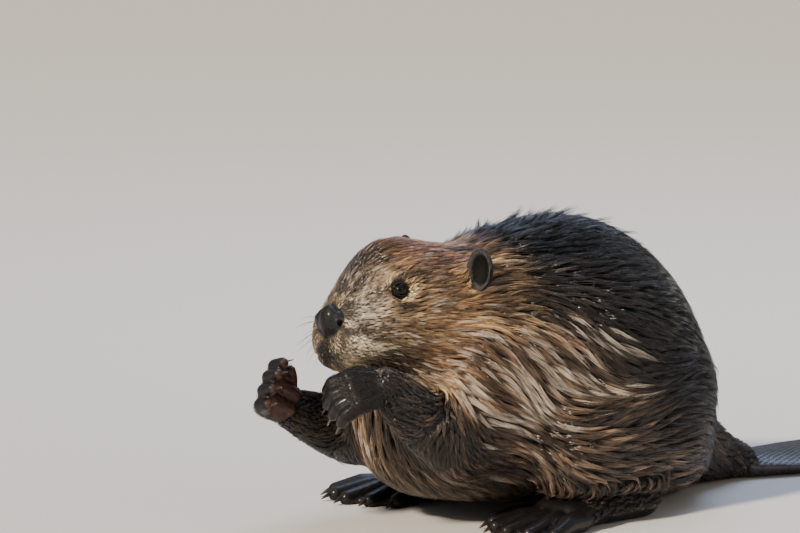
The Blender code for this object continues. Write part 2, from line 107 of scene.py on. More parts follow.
def layer(value: Rows, *layers: tuple) -> Rows:
    """Lays further values over a first one, each by its own share.

    Args:
        value: What lies lowest.
        layers: Pairs of a share for each point and the value that a share of 1 shows.

    Returns:
        The blended values.
    """
    for share, over in layers:
        value = value + (share[:, None] if np.ndim(value) > 1 else share) * (over - value)
    return value


def flatten(ways: Rows, normals: Rows) -> Rows:
    """Takes out of each direction what stands off the surface."""
    return ways - normals * np.sum(ways * normals, axis=1)[:, None]


def fold(points: Rows) -> Rows:
    """Lays both sides of the midline on one."""
    return np.abs(points * (0, 1, 0)) + points * (1, 0, 1)


def read_along(values: Rows, row: Rows, at: Rows) -> Rows:
    """Reads guides between their steps.

    Args:
        values: Guides x steps x 3.
        row: Which guide to read.
        at: Where to read it, counted in steps.

    Returns:
        The values there.
    """
    low = np.minimum(at.astype(int), values.shape[1] - 2)
    part = (at - low)[..., None]
    return values[row, low] * (1 - part) + values[row, low + 1] * part


def bump_at(points: Rows, centre: tuple, radii: tuple) -> Rows:
    """A soft blob of weight, 1 at its centre."""
    away = (points - np.array(centre)) / np.array(radii)
    return np.exp(-np.sum(away * away, axis=1))


def unit(vectors: Rows) -> Rows:
    """Scales each row to length one."""
    return vectors / np.maximum(np.linalg.norm(vectors, axis=-1, keepdims=True), 1e-9)


def grain(points: Rows, size: float, seed: int) -> Rows:
    """Smooth random values in space.

    Args:
        points: Rows of positions in metres.
        size: Distance over which the value changes, in metres.
        seed: Chooses the pattern.

    Returns:
        A value from -1 to 1 for each row.
    """
    scaled = points / size
    cell = np.floor(scaled).astype(np.int64)
    t = scaled - cell
    t = t * t * (3 - 2 * t)
    total = np.zeros(len(points))
    for corner in range(8):
        step = np.array([(corner >> k) & 1 for k in range(3)])
        key = ((cell + step) * np.array([73856093, 19349663, 83492791])).sum(axis=1) + seed * 7919
        key = (key ^ (key >> 13)) * 1274126177 & 0xFFFFFFFF
        value = ((key ^ (key >> 16)) & 0xFFFF) / 32767.5 - 1
        total += value * np.prod(np.where(step, t, 1 - t), axis=1)
    return total


# ------------ modelling helpers
def select_only(*objects: Object) -> None:
    """Leaves just these objects selected, the first of them active.

    Args:
        *objects: The objects.
    """
    for obj in bpy.context.view_layer.objects:
        obj.select_set(False)
    for obj in objects:
        obj.select_set(True)
    bpy.context.view_layer.objects.active = objects[0]


def settle(obj: Object) -> Object:
    """Bakes an object's place, turn and size into its mesh.

    Args:
        obj: The object.

    Returns:
        The same object.
    """
    select_only(obj)
    bpy.ops.object.transform_apply(location=True, rotation=True, scale=True)
    return obj


def apply_modifiers(obj: Object) -> Object:
    """Applies every modifier on the object, in order.

    Args:
        obj: The object.

    Returns:
        The same object.
    """
    select_only(obj)
    for modifier in list(obj.modifiers):
        bpy.ops.object.modifier_apply(modifier=modifier.name)
    return obj


def join_all(objects: list[Object], name: str) -> Object:
    """Joins objects into the first and renames it.

    Args:
        objects: The objects.
        name: The name that it gets.

    Returns:
        The joined object.
    """
    select_only(*objects)
    if len(objects) > 1:
        bpy.ops.object.join()
    objects[0].name = name
    objects[0].data.name = name
    return objects[0]


def read_vertices(obj: Object, what: str = "co") -> Rows:
    """The vertices' positions, or their normals with what set to "normal", as rows.

    Args:
        obj: The object.
        what: The stored values: "co" for positions, "normal" for normals.

    Returns:
        One row for each vertex.
    """
    flat = np.empty(len(obj.data.vertices) * 3)
    obj.data.vertices.foreach_get(what, flat)
    return flat.reshape(-1, 3)


def points_of(obj: Object) -> Rows:
    """The object's vertices as rows."""
    return read_vertices(obj)


def normals_of(obj: Object) -> Rows:
    """The object's vertex normals as rows."""
    return read_vertices(obj, "normal")


def corners_of(obj: Object) -> Rows:
    """The object's triangles as rows of vertex numbers.

    Args:
        obj: The object.

    Returns:
        One row for each triangle.
    """
    obj.data.calc_loop_triangles()
    flat = np.empty(len(obj.data.loop_triangles) * 3, np.int32)
    obj.data.loop_triangles.foreach_get("vertices", flat)
    return flat.reshape(-1, 3)


def count_triangles(obj: Object) -> int:
    """How many triangles the object's faces come to."""
    return sum(len(face.vertices) - 2 for face in obj.data.polygons)


def set_points(obj: Object, points: Rows) -> None:
    """Moves the object's vertices to these positions."""
    obj.data.vertices.foreach_set("co", points.astype(np.float32).ravel())
    obj.data.update()


def paint(obj: Object, name: str, colours: Rows) -> None:
    """Stores a colour for each vertex.

    Args:
        obj: The piece to paint.
        name: The attribute's name.
        colours: Linear red, green and blue for each vertex.
    """
    layer = obj.data.color_attributes.new(name, "FLOAT_COLOR", "POINT")
    full = np.ones((len(colours), 4), np.float32)
    full[:, :3] = colours
    layer.data.foreach_set("color", full.ravel())


def store(obj: Object, name: str, values: Rows) -> None:
    """Stores a number for each vertex under an attribute's name."""
    layer = obj.data.attributes.new(name, "FLOAT", "POINT")
    layer.data.foreach_set("value", values.astype(np.float32))


def add_unwrap(obj: Object, places: Rows) -> None:
    """Stores each vertex's place on the unwrap as the map OFBake.

    Args:
        obj: The object.
        places: Each vertex's place on the unwrap.
    """
    unwrap = obj.data.uv_layers.new(name="OFBake")
    corner = np.empty(len(obj.data.loops), np.int32)
    obj.data.loops.foreach_get("vertex_index", corner)
    unwrap.data.foreach_set("uv", places[corner].astype(np.float32).ravel())


def array_mesh(name: str, points: Rows, quads: Rows, triangles: Rows) -> Object:
    """Makes an object from arrays of corners.

    Args:
        name: The piece's name.
        points: Vertex positions, one row each.
        quads: Rows of four vertex numbers.
        triangles: Rows of three vertex numbers.

    Returns:
        The new object, linked to the scene.
    """
    mesh = bpy.data.meshes.new(name)
    mesh.vertices.add(len(points))
    mesh.vertices.foreach_set("co", points.astype(np.float32).ravel())
    corners = np.concatenate([quads.ravel(), triangles.ravel()]).astype(np.int32)
    sizes = np.concatenate([np.full(len(quads), 4), np.full(len(triangles), 3)])
    starts = np.concatenate([[0], np.cumsum(sizes)[:-1]]).astype(np.int32)
    mesh.loops.add(len(corners))
    mesh.loops.foreach_set("vertex_index", corners)
    mesh.polygons.add(len(sizes))
    mesh.polygons.foreach_set("loop_start", starts)
    mesh.update(calc_edges=True)
    mesh.shade_smooth()
    obj = bpy.data.objects.new(name, mesh)
    bpy.context.scene.collection.objects.link(obj)
    return obj


def split_edges(points: Rows, normals: Rows, triangles: Rows, near: Rows) -> tuple[Rows, Rows, Rows]:
    """Halves every edge between two chosen vertices, on the curve that their normals ask for.

    Args:
        points: Vertex positions.
        normals: Vertex normals.
        triangles: Rows of three vertex numbers.
        near: Which vertices are chosen.

    Returns:
        The new positions, normals and triangles.
    """
    ends = np.sort(np.stack([triangles, np.roll(triangles, -1, axis=1)], axis=2).reshape(-1, 2), axis=1)
    edges, which = np.unique(ends, axis=0, return_inverse=True)
    cut = near[edges].all(axis=1)
    number = np.where(cut, len(points) + np.cumsum(cut) - 1, -1)
    middles = number[which.reshape(-1)].reshape(-1, 3)
    a, b = edges[cut].T
    along = points[b] - points[a]
    rise = (normals[a] * np.sum(along * normals[a], axis=1)[:, None]
            - normals[b] * np.sum(along * normals[b], axis=1)[:, None]) / 8
    points = np.concatenate([points, (points[a] + points[b]) / 2 + rise])
    normals = np.concatenate([normals, unit(normals[a] + normals[b])])
    found = middles >= 0
    count = found.sum(axis=1)
    made = [triangles[count == 0]]
    for wanted, lead in ((1, found), (2, ~np.roll(found, 1, axis=1)), (3, found)):
        for turn in range(3):
            rows = (count == wanted) & (lead.argmax(axis=1) == turn)
            p, q, r = np.roll(triangles[rows], -turn, axis=1).T
            x, y, z = np.roll(middles[rows], -turn, axis=1).T
            parts = {1: ((p, x, r), (x, q, r)), 2: ((x, q, y), (p, x, y), (p, y, r)),
                     3: ((p, x, z), (x, q, y), (z, y, r), (x, y, z))}[wanted]
            made += [np.stack(part, axis=1) for part in parts]
    return points, normals, np.concatenate(made)


def sphere(name: str, centre: Rows, radii: tuple, turn: Matrix | None = None,
           segments: int = 24, rings: int = 16) -> Object:
    """Adds an ellipsoid with its place in its mesh.

    Args:
        name: The object's name.
        centre: Its middle.
        radii: Half its size along its own three axes.
        turn: Its axes as the columns of a 3 x 3 matrix.
        segments: Facets round it.
        rings: Facets from pole to pole.

    Returns:
        The new object.
    """
    bpy.ops.mesh.primitive_uv_sphere_add(segments=segments, ring_count=rings, radius=1.0)
    obj = bpy.context.active_object
    obj.name = name
    place = Matrix.Translation(Vector(centre))
    if turn is not None:
        place = place @ turn.to_4x4()
    obj.data.transform(place @ Matrix.Diagonal((*radii, 1.0)))
    return obj


def hull(balls: list[tuple]) -> Object:
    """The tight wrapping of several balls.

    Args:
        balls: Pairs of a centre and a radius, or three radii.

    Returns:
        A closed convex object.
    """
    shells = []
    for centre, radius in balls:
        radii = radius if isinstance(radius, tuple) else (radius,) * 3
        shells.append(sphere("ball", centre, radii, segments=16, rings=10))
    obj = join_all(shells, "hull")
    bpy.ops.object.mode_set(mode="EDIT")
    bpy.ops.mesh.select_all(action="SELECT")
    bpy.ops.mesh.convex_hull()
    bpy.ops.object.mode_set(mode="OBJECT")
    return obj


def surface_tree(obj: Object) -> BVHTree:
    """A search tree over the object's faces.

    Args:
        obj: The object.

    Returns:
        The search tree.
    """
    bm = bmesh.new()
    bm.from_mesh(obj.data)
    tree = BVHTree.FromBMesh(bm)
    bm.free()
    return tree


def distances(tree: BVHTree, points: Rows, reach: float) -> Rows:
    """How far each point is from a surface, or reach where it is farther.

    Args:
        tree: The surface's search tree.
        points: Rows of positions.
        reach: The farthest distance looked for, in metres.

    Returns:
        One distance for each point, in metres.
    """
    found = np.full(len(points), reach)
    for k, point in enumerate(points):
        distance = tree.find_nearest(point, reach)[3]
        if distance is not None:
            found[k] = distance
    return found


# ------------ finishes
NOISE, CELLS, RAMP, STORED, MIX = ("ShaderNodeTexNoise", "ShaderNodeTexVoronoi", "ShaderNodeValToRGB",
                                   "ShaderNodeAttribute", "ShaderNodeMix")


def add_node(tree: NodeTree, kind: str, settings: dict | None = None,
             inputs: dict | None = None, stops: tuple = ()) -> Node:
    """Adds a node with its settings, values and links.

    Args:
        tree: The node tree it joins.
        kind: The node's type, such as "ShaderNodeBump".
        settings: Attribute names and values.
        inputs: Socket names or numbers, each with a value or an output socket.
        stops: For a colour ramp, pairs of a place from 0 to 1 and a hex colour.

    Returns:
        The new node.
    """
    made = tree.nodes.new(kind)
    for key, value in (settings or {}).items():
        setattr(made, key, value)
    for key, value in (inputs or {}).items():
        if isinstance(value, NodeSocket):
            tree.links.new(value, made.inputs[key])
        else:
            made.inputs[key].default_value = value
    if stops:
        elements = made.color_ramp.elements
        for place, _ in stops[1:-1]:
            elements.new(place)
        elements[0].position, elements[-1].position = stops[0][0], stops[-1][0]
        for element, (_, code) in zip(elements, stops):
            element.color = rgba(code)
    return made


def pattern(tree: NodeTree, kind: str, size: float, stretch: tuple = (1, 1, 1),
            **inputs: float) -> NodeSocket:
    """Adds a texture over object coordinates.

    Args:
        tree: The node tree.
        kind: NOISE or CELLS.
        size: Width of one lump or cell in metres.
        stretch: Factors on the coordinates, to draw the pattern out.
        inputs: Further socket values, by name.

    Returns:
        The pattern's value.
    """
    place = add_node(tree, "ShaderNodeTexCoord").outputs["Object"]
    turned = add_node(tree, "ShaderNodeMapping", inputs={"Vector": place, "Scale": stretch})
    values = {"Vector": turned.outputs[0], "Scale": 1.0 / size, **inputs}
    return add_node(tree, kind, inputs=values).outputs[0]


def shaded_markings(tree: NodeTree, lumps: NodeSocket, dark: float, light: float) -> NodeSocket:
    """Multiplies the painted markings by a pattern.

    Args:
        tree: The node tree.
        lumps: The pattern's value.
        dark: The factor where it is 0.
        light: The factor where it is 1.

    Returns:
        The colour.
    """
    paint_on = add_node(tree, STORED, {"attribute_name": "Markings"}).outputs["Color"]
    tone = add_node(tree, "ShaderNodeMapRange", inputs={"Value": lumps, "To Min": dark, "To Max": light})
    return add_node(tree, MIX, {"data_type": "RGBA", "blend_type": "MULTIPLY"},
                    {"Factor": 1.0, 6: paint_on, 7: tone.outputs[0]}).outputs[2]


def two_tone(tree: NodeTree, lumps: NodeSocket, weight: str, plain: tuple, other: tuple) -> NodeSocket:
    """Mixes two colour ramps over one pattern.

    Args:
        tree: The node tree.
        lumps: The pattern's value.
        weight: The attribute that shows the second ramp.
        plain: Stops of the ramp that shows where the weight is 0.
        other: Stops of the ramp that shows where it is 1.

    Returns:
        The colour.
    """
    first, second = (add_node(tree, RAMP, inputs={0: lumps}, stops=stops).outputs[0]
                     for stops in (plain, other))
    share = add_node(tree, STORED, {"attribute_name": weight}).outputs["Fac"]
    return add_node(tree, MIX, {"data_type": "RGBA"}, {"Factor": share, 6: first, 7: second}).outputs[2]


@dataclass(frozen=True)
class Finish:
    """What every finish shares. Plain ones are lumps of noise through a colour ramp."""

    name: str = ""
    lump: ClassVar[float] = 1 * MM
    detail: ClassVar[float] = 2.0
    stops: ClassVar[tuple] = ()
    relief: ClassVar[tuple] = (0.0, 0.0, False)  # depth in metres, strength, and whether cells stand proud
    shine: ClassVar[dict[str, float]] = {}  # values of the surface shader

    def make(self) -> Material:
        """Builds the material from its colour, relief and shine.

        Returns:
            The material.
        """
        made = bpy.data.materials.new(self.name)
        made.use_nodes = True
        tree = made.node_tree
        tree.nodes.clear()
        colour, height = self.surface(tree)
        shader = add_node(tree, "ShaderNodeBsdfPrincipled", inputs={"Base Color": colour, **self.shine})
        if height:
            depth, strength, proud = self.relief
            relief = add_node(tree, "ShaderNodeBump", {"invert": proud},
                              {"Height": height, "Distance": depth, "Strength": strength})
            tree.links.new(relief.outputs[0], shader.inputs["Normal"])
        add_node(tree, "ShaderNodeOutputMaterial", inputs={"Surface": shader.outputs["BSDF"]})
        return made

    def surface(self, tree: NodeTree) -> tuple[NodeSocket, NodeSocket | None]:
        """Gives the colour, and the height of the relief if there is one."""
        lumps = pattern(tree, NOISE, self.lump, Detail=self.detail)
        return add_node(tree, RAMP, inputs={0: lumps}, stops=self.stops).outputs[0], None


@dataclass(frozen=True)
class GuardHair(Finish):
    """Wet guard hair: keratin with a film of water, so it shines in thin streaks along each lock."""

    name: str = "wet_guard_hair"
    shine = {"Roughness": 0.30, "IOR": 1.55, "Coat Weight": 0.72, "Coat Roughness": 0.12}

    def surface(self, tree: NodeTree) -> tuple:
        """Shows the painted markings, strand by strand."""
        return shaded_markings(tree, pattern(tree, NOISE, 1.6 * MM, Detail=2.0), 0.70, 1.30), None


@dataclass(frozen=True)
class Underfur(Finish):
    """Dense wet underfur between the locks, matted and hardly shining; its darkness is partly the wool's own
    and partly painted shade between the locks.
    """

    name: str = "wet_underfur"
    relief = (0.8 * MM, 0.9, False)
    shine = {"Roughness": 0.72}

    def surface(self, tree: NodeTree) -> tuple:
        """Shows the coat's markings darkened, partly as painted shade between the locks."""
        lumps = pattern(tree, NOISE, 1.4 * MM, (0.35, 1.0, 1.0), Detail=4.0)
        # painted shade in part: the markings drop to 4 to 24 percent here
        return shaded_markings(tree, lumps, 0.04, 0.24), lumps


@dataclass(frozen=True)
class NoseLeather(Finish):
    """Wet hairless nose skin: black and finely pebbled in front, greyer towards the nostrils."""

    name: str = "wet_nose_leather"
    relief = (0.30 * MM, 0.9, True)
    shine = {"Roughness": 0.55, "Specular IOR Level": 0.25, "Coat Weight": 0.22, "Coat Roughness": 0.12}

    def surface(self, tree: NodeTree) -> tuple:
        """Lets the stored rim weight grey the sides.

        Args:
            tree: The material's nodes.

        Returns:
            The colour and the relief.
        """
        return two_tone(tree, pattern(tree, NOISE, 7 * MM, Detail=3.0), "Rim",
                        ((0.35, "#050505"), (0.6, "#0b0a0a"), (0.8, "#171514")),
                        # the sides' grey ramp carries a faint blue cast, a painted reflection of the sky's
                        # sheen
                        ((0.3, "#0b0c0d"), (0.7, "#1f2123"))), pattern(tree, CELLS, 0.9 * MM)


@dataclass(frozen=True)
class PawSkin(Finish):
    """Wet bare paw skin: near-black brown and creased on the back, dull pink-brown on the pads."""

    name: str = "wet_paw_skin"
    relief = (0.38 * MM, 0.8, True)
    shine = {"Roughness": 0.55, "Specular IOR Level": 0.25, "Coat Weight": 0.24, "Coat Roughness": 0.12}

    def surface(self, tree: NodeTree) -> tuple:
        """Lets the stored pad weight show the palm.

        Args:
            tree: The material's nodes.

        Returns:
            The colour and the relief.
        """
        tone = two_tone(tree, pattern(tree, NOISE, 5 * MM, Detail=4.0), "Pads",
                        ((0.3, "#070505"), (0.55, "#0f0a09"), (0.8, "#1b1210")),
                        ((0.3, "#2c1a16"), (0.6, "#4b2f28"), (0.85, "#6a473d")))
        return tone, pattern(tree, CELLS, 1.6 * MM)


@dataclass(frozen=True)
class TailGroove(Finish):
    """Creased skin between the tail's plates, paler than they are, with a dull wet shine."""

    name: str = "tail_groove_skin"
    stops = ((0.3, "#2a2624"), (0.7, "#423c38"))
    relief = (0.15 * MM, 0.5, False)
    shine = {"Roughness": 0.44, "Coat Weight": 0.25, "Coat Roughness": 0.2}

    def surface(self, tree: NodeTree) -> tuple:
        """Colours it in broad clouds and roughens it finely.

        Args:
            tree: The material's nodes.

        Returns:
            The colour and the relief.
        """
        cloud = self.vary(tree, pattern(tree, NOISE, 11 * MM, Detail=4.0))
        return (add_node(tree, RAMP, inputs={0: cloud}, stops=self.stops).outputs[0],
                pattern(tree, NOISE, 1.0 * MM, Detail=3.0))

    def vary(self, tree: NodeTree, cloud: NodeSocket) -> NodeSocket:
        """Leaves the clouds as they are."""
        return cloud


@dataclass(frozen=True)
class TailPlate(TailGroove):
    """Slate-black tail horn with a dull wet shine, each plate in its own tone."""

    name: str = "tail_plate_horn"
    stops = ((0.2, "#19181a"), (0.5, "#292729"), (0.8, "#413d3b"))

    def vary(self, tree: NodeTree, cloud: NodeSocket) -> NodeSocket:
        """Mixes in the tone stored for each plate."""
        tone = add_node(tree, STORED, {"attribute_name": "Tone"}).outputs["Fac"]
        return add_node(tree, MIX, {"data_type": "FLOAT"}, {0: 0.5, 2: cloud, 3: tone}).outputs[0]


@dataclass(frozen=True)
class EarSkin(Finish):
    """Ear leather under velvet hair: black outside, greyer towards the inner rim, partly its own grey and
    partly a painted highlight along the rim.
    """

    name: str = "ear_skin"
    relief = (0.3 * MM, 0.7, False)
    shine = {"Roughness": 0.75, "Specular IOR Level": 0.2}

    def surface(self, tree: NodeTree) -> tuple:
        """Lets the stored rim weight grey the inner edge, partly as a painted highlight.

        Args:
            tree: The material's nodes.

        Returns:
            The colour and the relief.
        """
        lumps = pattern(tree, NOISE, 1.1 * MM, Detail=3.0)
        return two_tone(tree, lumps, "Rim", ((0.35, "#070606"), (0.7, "#100e0d")),
                        # grey inner rim: partly the skin's own grey, partly a painted highlight
                        ((0.35, "#2a2828"), (0.7, "#4b4846"))), lumps


@dataclass(frozen=True)
class ClawHorn(Finish):
    """Claw keratin: dark brown horn, paler at the worn tip, with fine lengthwise streaks."""

    name: str = "claw_horn"
    stops = ((0.1, "#0d0a08"), (0.75, "#1c1410"), (1.0, "#33271f"))
    shine = {"Roughness": 0.32, "Coat Weight": 0.15}

    def surface(self, tree: NodeTree) -> tuple:
        """Runs the colours from root to tip along the stored length.

        Args:
            tree: The material's nodes.

        Returns:
            The colour and the relief.
        """
        streaks = pattern(tree, NOISE, 0.7 * MM, (0.2, 1.0, 1.0), Detail=3.0)
        length = add_node(tree, STORED, {"attribute_name": "Along"}).outputs["Fac"]
        along = add_node(tree, "ShaderNodeMath", {"operation": "MULTIPLY_ADD"},
                         {0: streaks, 1: 0.35, 2: length})
        return add_node(tree, RAMP, inputs={0: along.outputs[0]}, stops=self.stops).outputs[0], None


@dataclass(frozen=True)
class EyeGlass(Finish):
    """A living eye: dark brown iris round a black pupil under a clear wet cornea."""

    name: str = "wet_eye"
    stops = ((0.0, "#020202"), (0.26, "#030303"), (0.34, "#1d100a"), (0.62, "#120a07"), (0.75, "#050404"))
    shine = {"Roughness": 0.25, "IOR": 1.38, "Specular IOR Level": 0.2, "Coat Weight": 0.3,
             "Coat Roughness": 0.03}

    def surface(self, tree: NodeTree) -> tuple:
        """Runs the colours outwards from the pupil by the stored angle."""
        gaze = add_node(tree, STORED, {"attribute_name": "Gaze"}).outputs["Fac"]
        return add_node(tree, RAMP, inputs={0: gaze}, stops=self.stops).outputs[0], None


@dataclass(frozen=True)
class WhiskerHair(Finish):
    """Whisker keratin: stiff, near-black bristles with a smooth shine."""

    name: str = "whisker_keratin"
    lump = 6 * MM
    stops = ((0.35, "#15110f"), (0.75, "#3b3028"))
    shine = {"Roughness": 0.35}


@dataclass(frozen=True)
class FloorPaper(Finish):
    """Seamless backdrop paper: pale, matt, with a barely visible tooth."""

    name: str = "backdrop_paper"
    lump = 2 * MM
    stops = ((0.3, "#cfccc6"), (0.7, "#d6d3cd"))
    shine = {"Roughness": 0.9}


def dress(obj: Object, *looks: Finish) -> None:
    """Gives an object its finishes, in slot order.

    Args:
        obj: The object.
        *looks: Its finishes, in slot order.
    """
    obj.data.materials.clear()
    for look in looks:
        obj.data.materials.append(look.make())


def present(obj: Object, looks: list[Finish], replaced: tuple = ()) -> None:
    """Dresses a finished piece, hangs it on the root body and hides the solids that it stands for.

    Args:
        obj: The piece.
        looks: Its finishes, in slot order.
        replaced: Names of the solids that it stands for.
    """
    dress(obj, *looks)
    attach(obj, "root")
    if replaced:
        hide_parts(*replaced)


# ------------ where things are
@dataclass
class Stance:
    """The animal's own directions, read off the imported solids."""

    nose_reach: float = 0.1235  # from the ears' line to the middle of the nose pad
    base_x: float = -0.100  # where the ears' line crosses the midline in trunk coordinates
    forward: Rows = field(init=False)  # level, where the head looks
    left: Rows = field(init=False)
    base: Rows = field(init=False)  # at floor level between the ears
    shift: Rows = field(init=False)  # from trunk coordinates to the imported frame

    def __post_init__(self) -> None:
        """Reads where nose and ears are."""
        nose, left, right = (sum(np.array(corner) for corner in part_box(node)) / 2
                             for node in ("nose_pad", "ear_left", "ear_right"))
        self.forward = unit((nose - (left + right) / 2) * (1, 1, 0))
        self.left = np.cross(UP, self.forward)
        self.base = nose * (1, 1, 0) - self.forward * self.nose_reach
        self.shift = self.base - np.array((self.base_x, 0.0, 0.0))

    def to_head(self, points: Rows) -> Rows:
        """Positions as forward of the ears' line, to the left, and above the floor."""
        away = points - self.base
        return np.stack([away @ self.forward, away @ self.left, away[:, 2]], axis=1)

    def head_ways(self, forward: Rows, left: Rows, height: Rows) -> Rows:
        """World directions from components along the head's own directions."""
        return forward[:, None] * self.forward + left[:, None] * self.left + height[:, None] * UP

    def on_head(self, forward: float, left: float, height: float) -> Rows:
        """The position of a point given in the head's directions."""
        return self.base + self.forward * forward + self.left * left + UP * height

    def on_trunk(self, x: float, y: float, z: float) -> Rows:
        """The position of a point given in trunk coordinates."""
        return self.shift + np.array((x, y, z))


STANCE = Stance()


# ------------ digits, paws and feet
@dataclass
class Digit:
    """A finger or toe: the balls of its joints, and the line of its claw."""

    number: int
    joints: list[tuple[Rows, float]]
    claw_length: float
    claw_radius: float
    claw_bend: float
    droop: Rows

    def shapes(self) -> list[Object]:
        """Tapered hulls from joint to joint."""
        return [hull([a, b]) for a, b in zip(self.joints, self.joints[1:])]

    def claw(self) -> tuple[Rows, Rows, Rows, Rows]:
        """A curved horn rooted in the last joint.

        Returns:
            Its points, quads, triangles, and the place of each point along it.
        """
        around, rows = 12, 9
        tip, radius = self.joints[-1]
        along = unit(tip - self.joints[-2][0])
        down = unit(self.droop)
        across = unit(np.cross(along, down))
        start = tip - down * radius * 0.25
        angles = np.arange(around) * 2 * math.pi / around
        points, place = [start - along * 0.001], [0.0]
        for row in range(rows):
            t = row / rows
            middle = start + along * self.claw_length * t
            middle = middle + down * self.claw_length * self.claw_bend * t * t
            size = self.claw_radius * (1 - 0.78 * t ** 1.3)
            keel = np.where(np.sin(angles) > 0, 1.0, 0.72)
            points += list(middle + across * (np.cos(angles) * size * 0.80)[:, None]
                           - down * (np.sin(angles) * size * keel)[:, None])
            place += [t] * around
        points.append(start + (along + down * self.claw_bend) * self.claw_length)
        place.append(1.0)
        first = 1 + np.arange(rows - 1)[:, None] * around + np.arange(around)
        after = 1 + np.arange(rows - 1)[:, None] * around + (np.arange(around) + 1) % around
        quads = np.stack([first, after, after + around, first + around], -1).reshape(-1, 4)
        ring, turn = 1 + np.arange(around), 1 + (np.arange(around) + 1) % around
        last = 1 + (rows - 1) * around
        caps = [np.stack([turn, ring, np.zeros(around, int)], -1),
                np.stack([ring - 1 + last, turn - 1 + last, np.full(around, last + around)], -1)]
        return np.array(points), quads, np.concatenate(caps), np.array(place)


@dataclass
class Forepaw:
    """A raised forepaw with four curled fingers and a short thumb."""

    hand: str
    wrist: tuple
    way: tuple
    faces: tuple
    spread: float
    curl: float
    reach: float
    digits: list[Digit] = field(default_factory=list)

    @property
    def at_wrist(self) -> Rows:
        """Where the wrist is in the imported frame."""
        return STANCE.on_trunk(*self.wrist)

    @property
    def inner(self) -> Rows:
        """The direction out of the palm.

        Returns:
            A direction of length 1.
        """
        way = unit(np.array(self.way))
        faces = np.array(self.faces)
        return unit(faces - way * (faces @ way))

    def shapes(self) -> list[Object]:
        """Builds the palm and the digits.

        Returns:
            The shapes to fuse.
        """
        wrist, way, inner = self.at_wrist, unit(np.array(self.way)), self.inner
        across = np.cross(inner, way) * SIDES[self.hand]
        knuckles = wrist + way * 0.030
        elbow = STANCE.on_trunk(*ELBOWS[self.hand])
        sleeve = wrist + unit(elbow - wrist) * 0.018
        palm = [hull([(wrist - inner * 0.001, 0.0150), (sleeve, 0.0155)])]
        palm += [hull([(wrist + across * 0.007 * place, 0.0128),
                       (knuckles + across * 0.029 * place - inner * 0.0015, 0.0084)])
                 for place in (-0.5, -1 / 6, 1 / 6, 0.5)]
        palm += [hull([(wrist + way * 0.012 + across * place + inner * 0.009, 0.0072),
                       (knuckles + across * place * 1.1 + inner * 0.006, 0.0062)])
                 for place in (-0.007, 0.007)]
        for k, share in enumerate((0.86, 1.0, 0.96, 0.78)):
            place = k / 3 - 0.5
            fan = math.radians(self.spread) * place
            root = knuckles + across * 0.029 * place
            line = unit(way * math.cos(fan) + across * math.sin(fan))
            length = self.reach * share
            bends = [line * math.cos(self.curl * turn) + inner * math.sin(self.curl * turn)
                     for turn in (0.6, 1.5)]
            bend = root + unit(bends[0]) * length * 0.55
            tip = bend + unit(bends[1]) * length * 0.45
            self.digits.append(Digit(k + 2, [(root, 0.0078), (bend, 0.0068), (tip, 0.0054)],
                                     0.0130, 0.0035, 0.42, inner))
        thumb = wrist + way * 0.012 - across * 0.013
        bend = thumb - across * 0.009 + way * 0.006 + inner * 0.004
        tip = bend - across * 0.002 + way * 0.008 + inner * 0.006
        self.digits.insert(0, Digit(1, [(thumb, 0.0080), (bend, 0.0062), (tip, 0.0050)],
                                    0.0080, 0.0024, 0.35, inner))
        return palm + [shape for digit in self.digits for shape in digit.shapes()]


@dataclass
class HindFoot:
    """A webbed hind foot flat on the floor."""

    hand: str
    heel: tuple = (0.040, 0.106, 0.016)
    ball: tuple = (-0.054, 0.103, 0.0125)
    lengths: tuple = (0.048, 0.061, 0.069, 0.065, 0.053)
    digits: list[Digit] = field(default_factory=list)

    def shapes(self) -> list[Object]:
        """Builds the sole, the toes and the webs between them.

        Returns:
            The shapes to fuse.
        """
        side = SIDES[self.hand]
        heel = STANCE.on_trunk(self.heel[0], self.heel[1] * side, self.heel[2])
        ball = STANCE.on_trunk(self.ball[0], self.ball[1] * side, self.ball[2])
        y = np.array((0.0, side, 0.0))
        made = [hull([(heel, (0.020, 0.016, 0.0165)), ((heel + ball) / 2, (0.024, 0.019, 0.0165))]),
                hull([((heel + ball) / 2, (0.022, 0.018, 0.0160)),
                      (ball - y * 0.015, (0.014, 0.012, 0.0125)),
                      (ball + y * 0.016, (0.014, 0.012, 0.0125))])]
        edges = []
        for k, length in enumerate(self.lengths):
            share = k / (len(self.lengths) - 1)
            fan = math.radians(-12 + 36 * share) * side
            root = ball + np.array((0.002, (-0.026 + 0.052 * share) * side, -0.004))
            made.append(hull([((heel + ball * 2) / 3 + y * (-0.014 + 0.028 * share) + UP * 0.002, 0.0105),
                              (root + UP * 0.0005, 0.0098)]))
            along = np.array((-math.cos(fan), math.sin(fan), 0.0))
            knuckle = root + along * length * 0.52 + UP * 0.0020
            tip = root + along * length - UP * 0.0030
            digit = Digit(k + 1, [(root, 0.0100), (knuckle, 0.0090), (tip, 0.0070)],
                          0.015, 0.0036, 0.20, -UP)
            self.digits.append(digit)
            made += digit.shapes()
            edges.append((root * (1, 1, 0) + UP * 0.003, (tip - along * 0.006) * (1, 1, 0) + UP * 0.003))
        for (root_a, tip_a), (root_b, tip_b) in zip(edges, edges[1:]):
            made.append(hull([(corner, (0.003, 0.003, 0.0030))
                              for corner in (root_a, tip_a, tip_b, root_b)]))
        return made


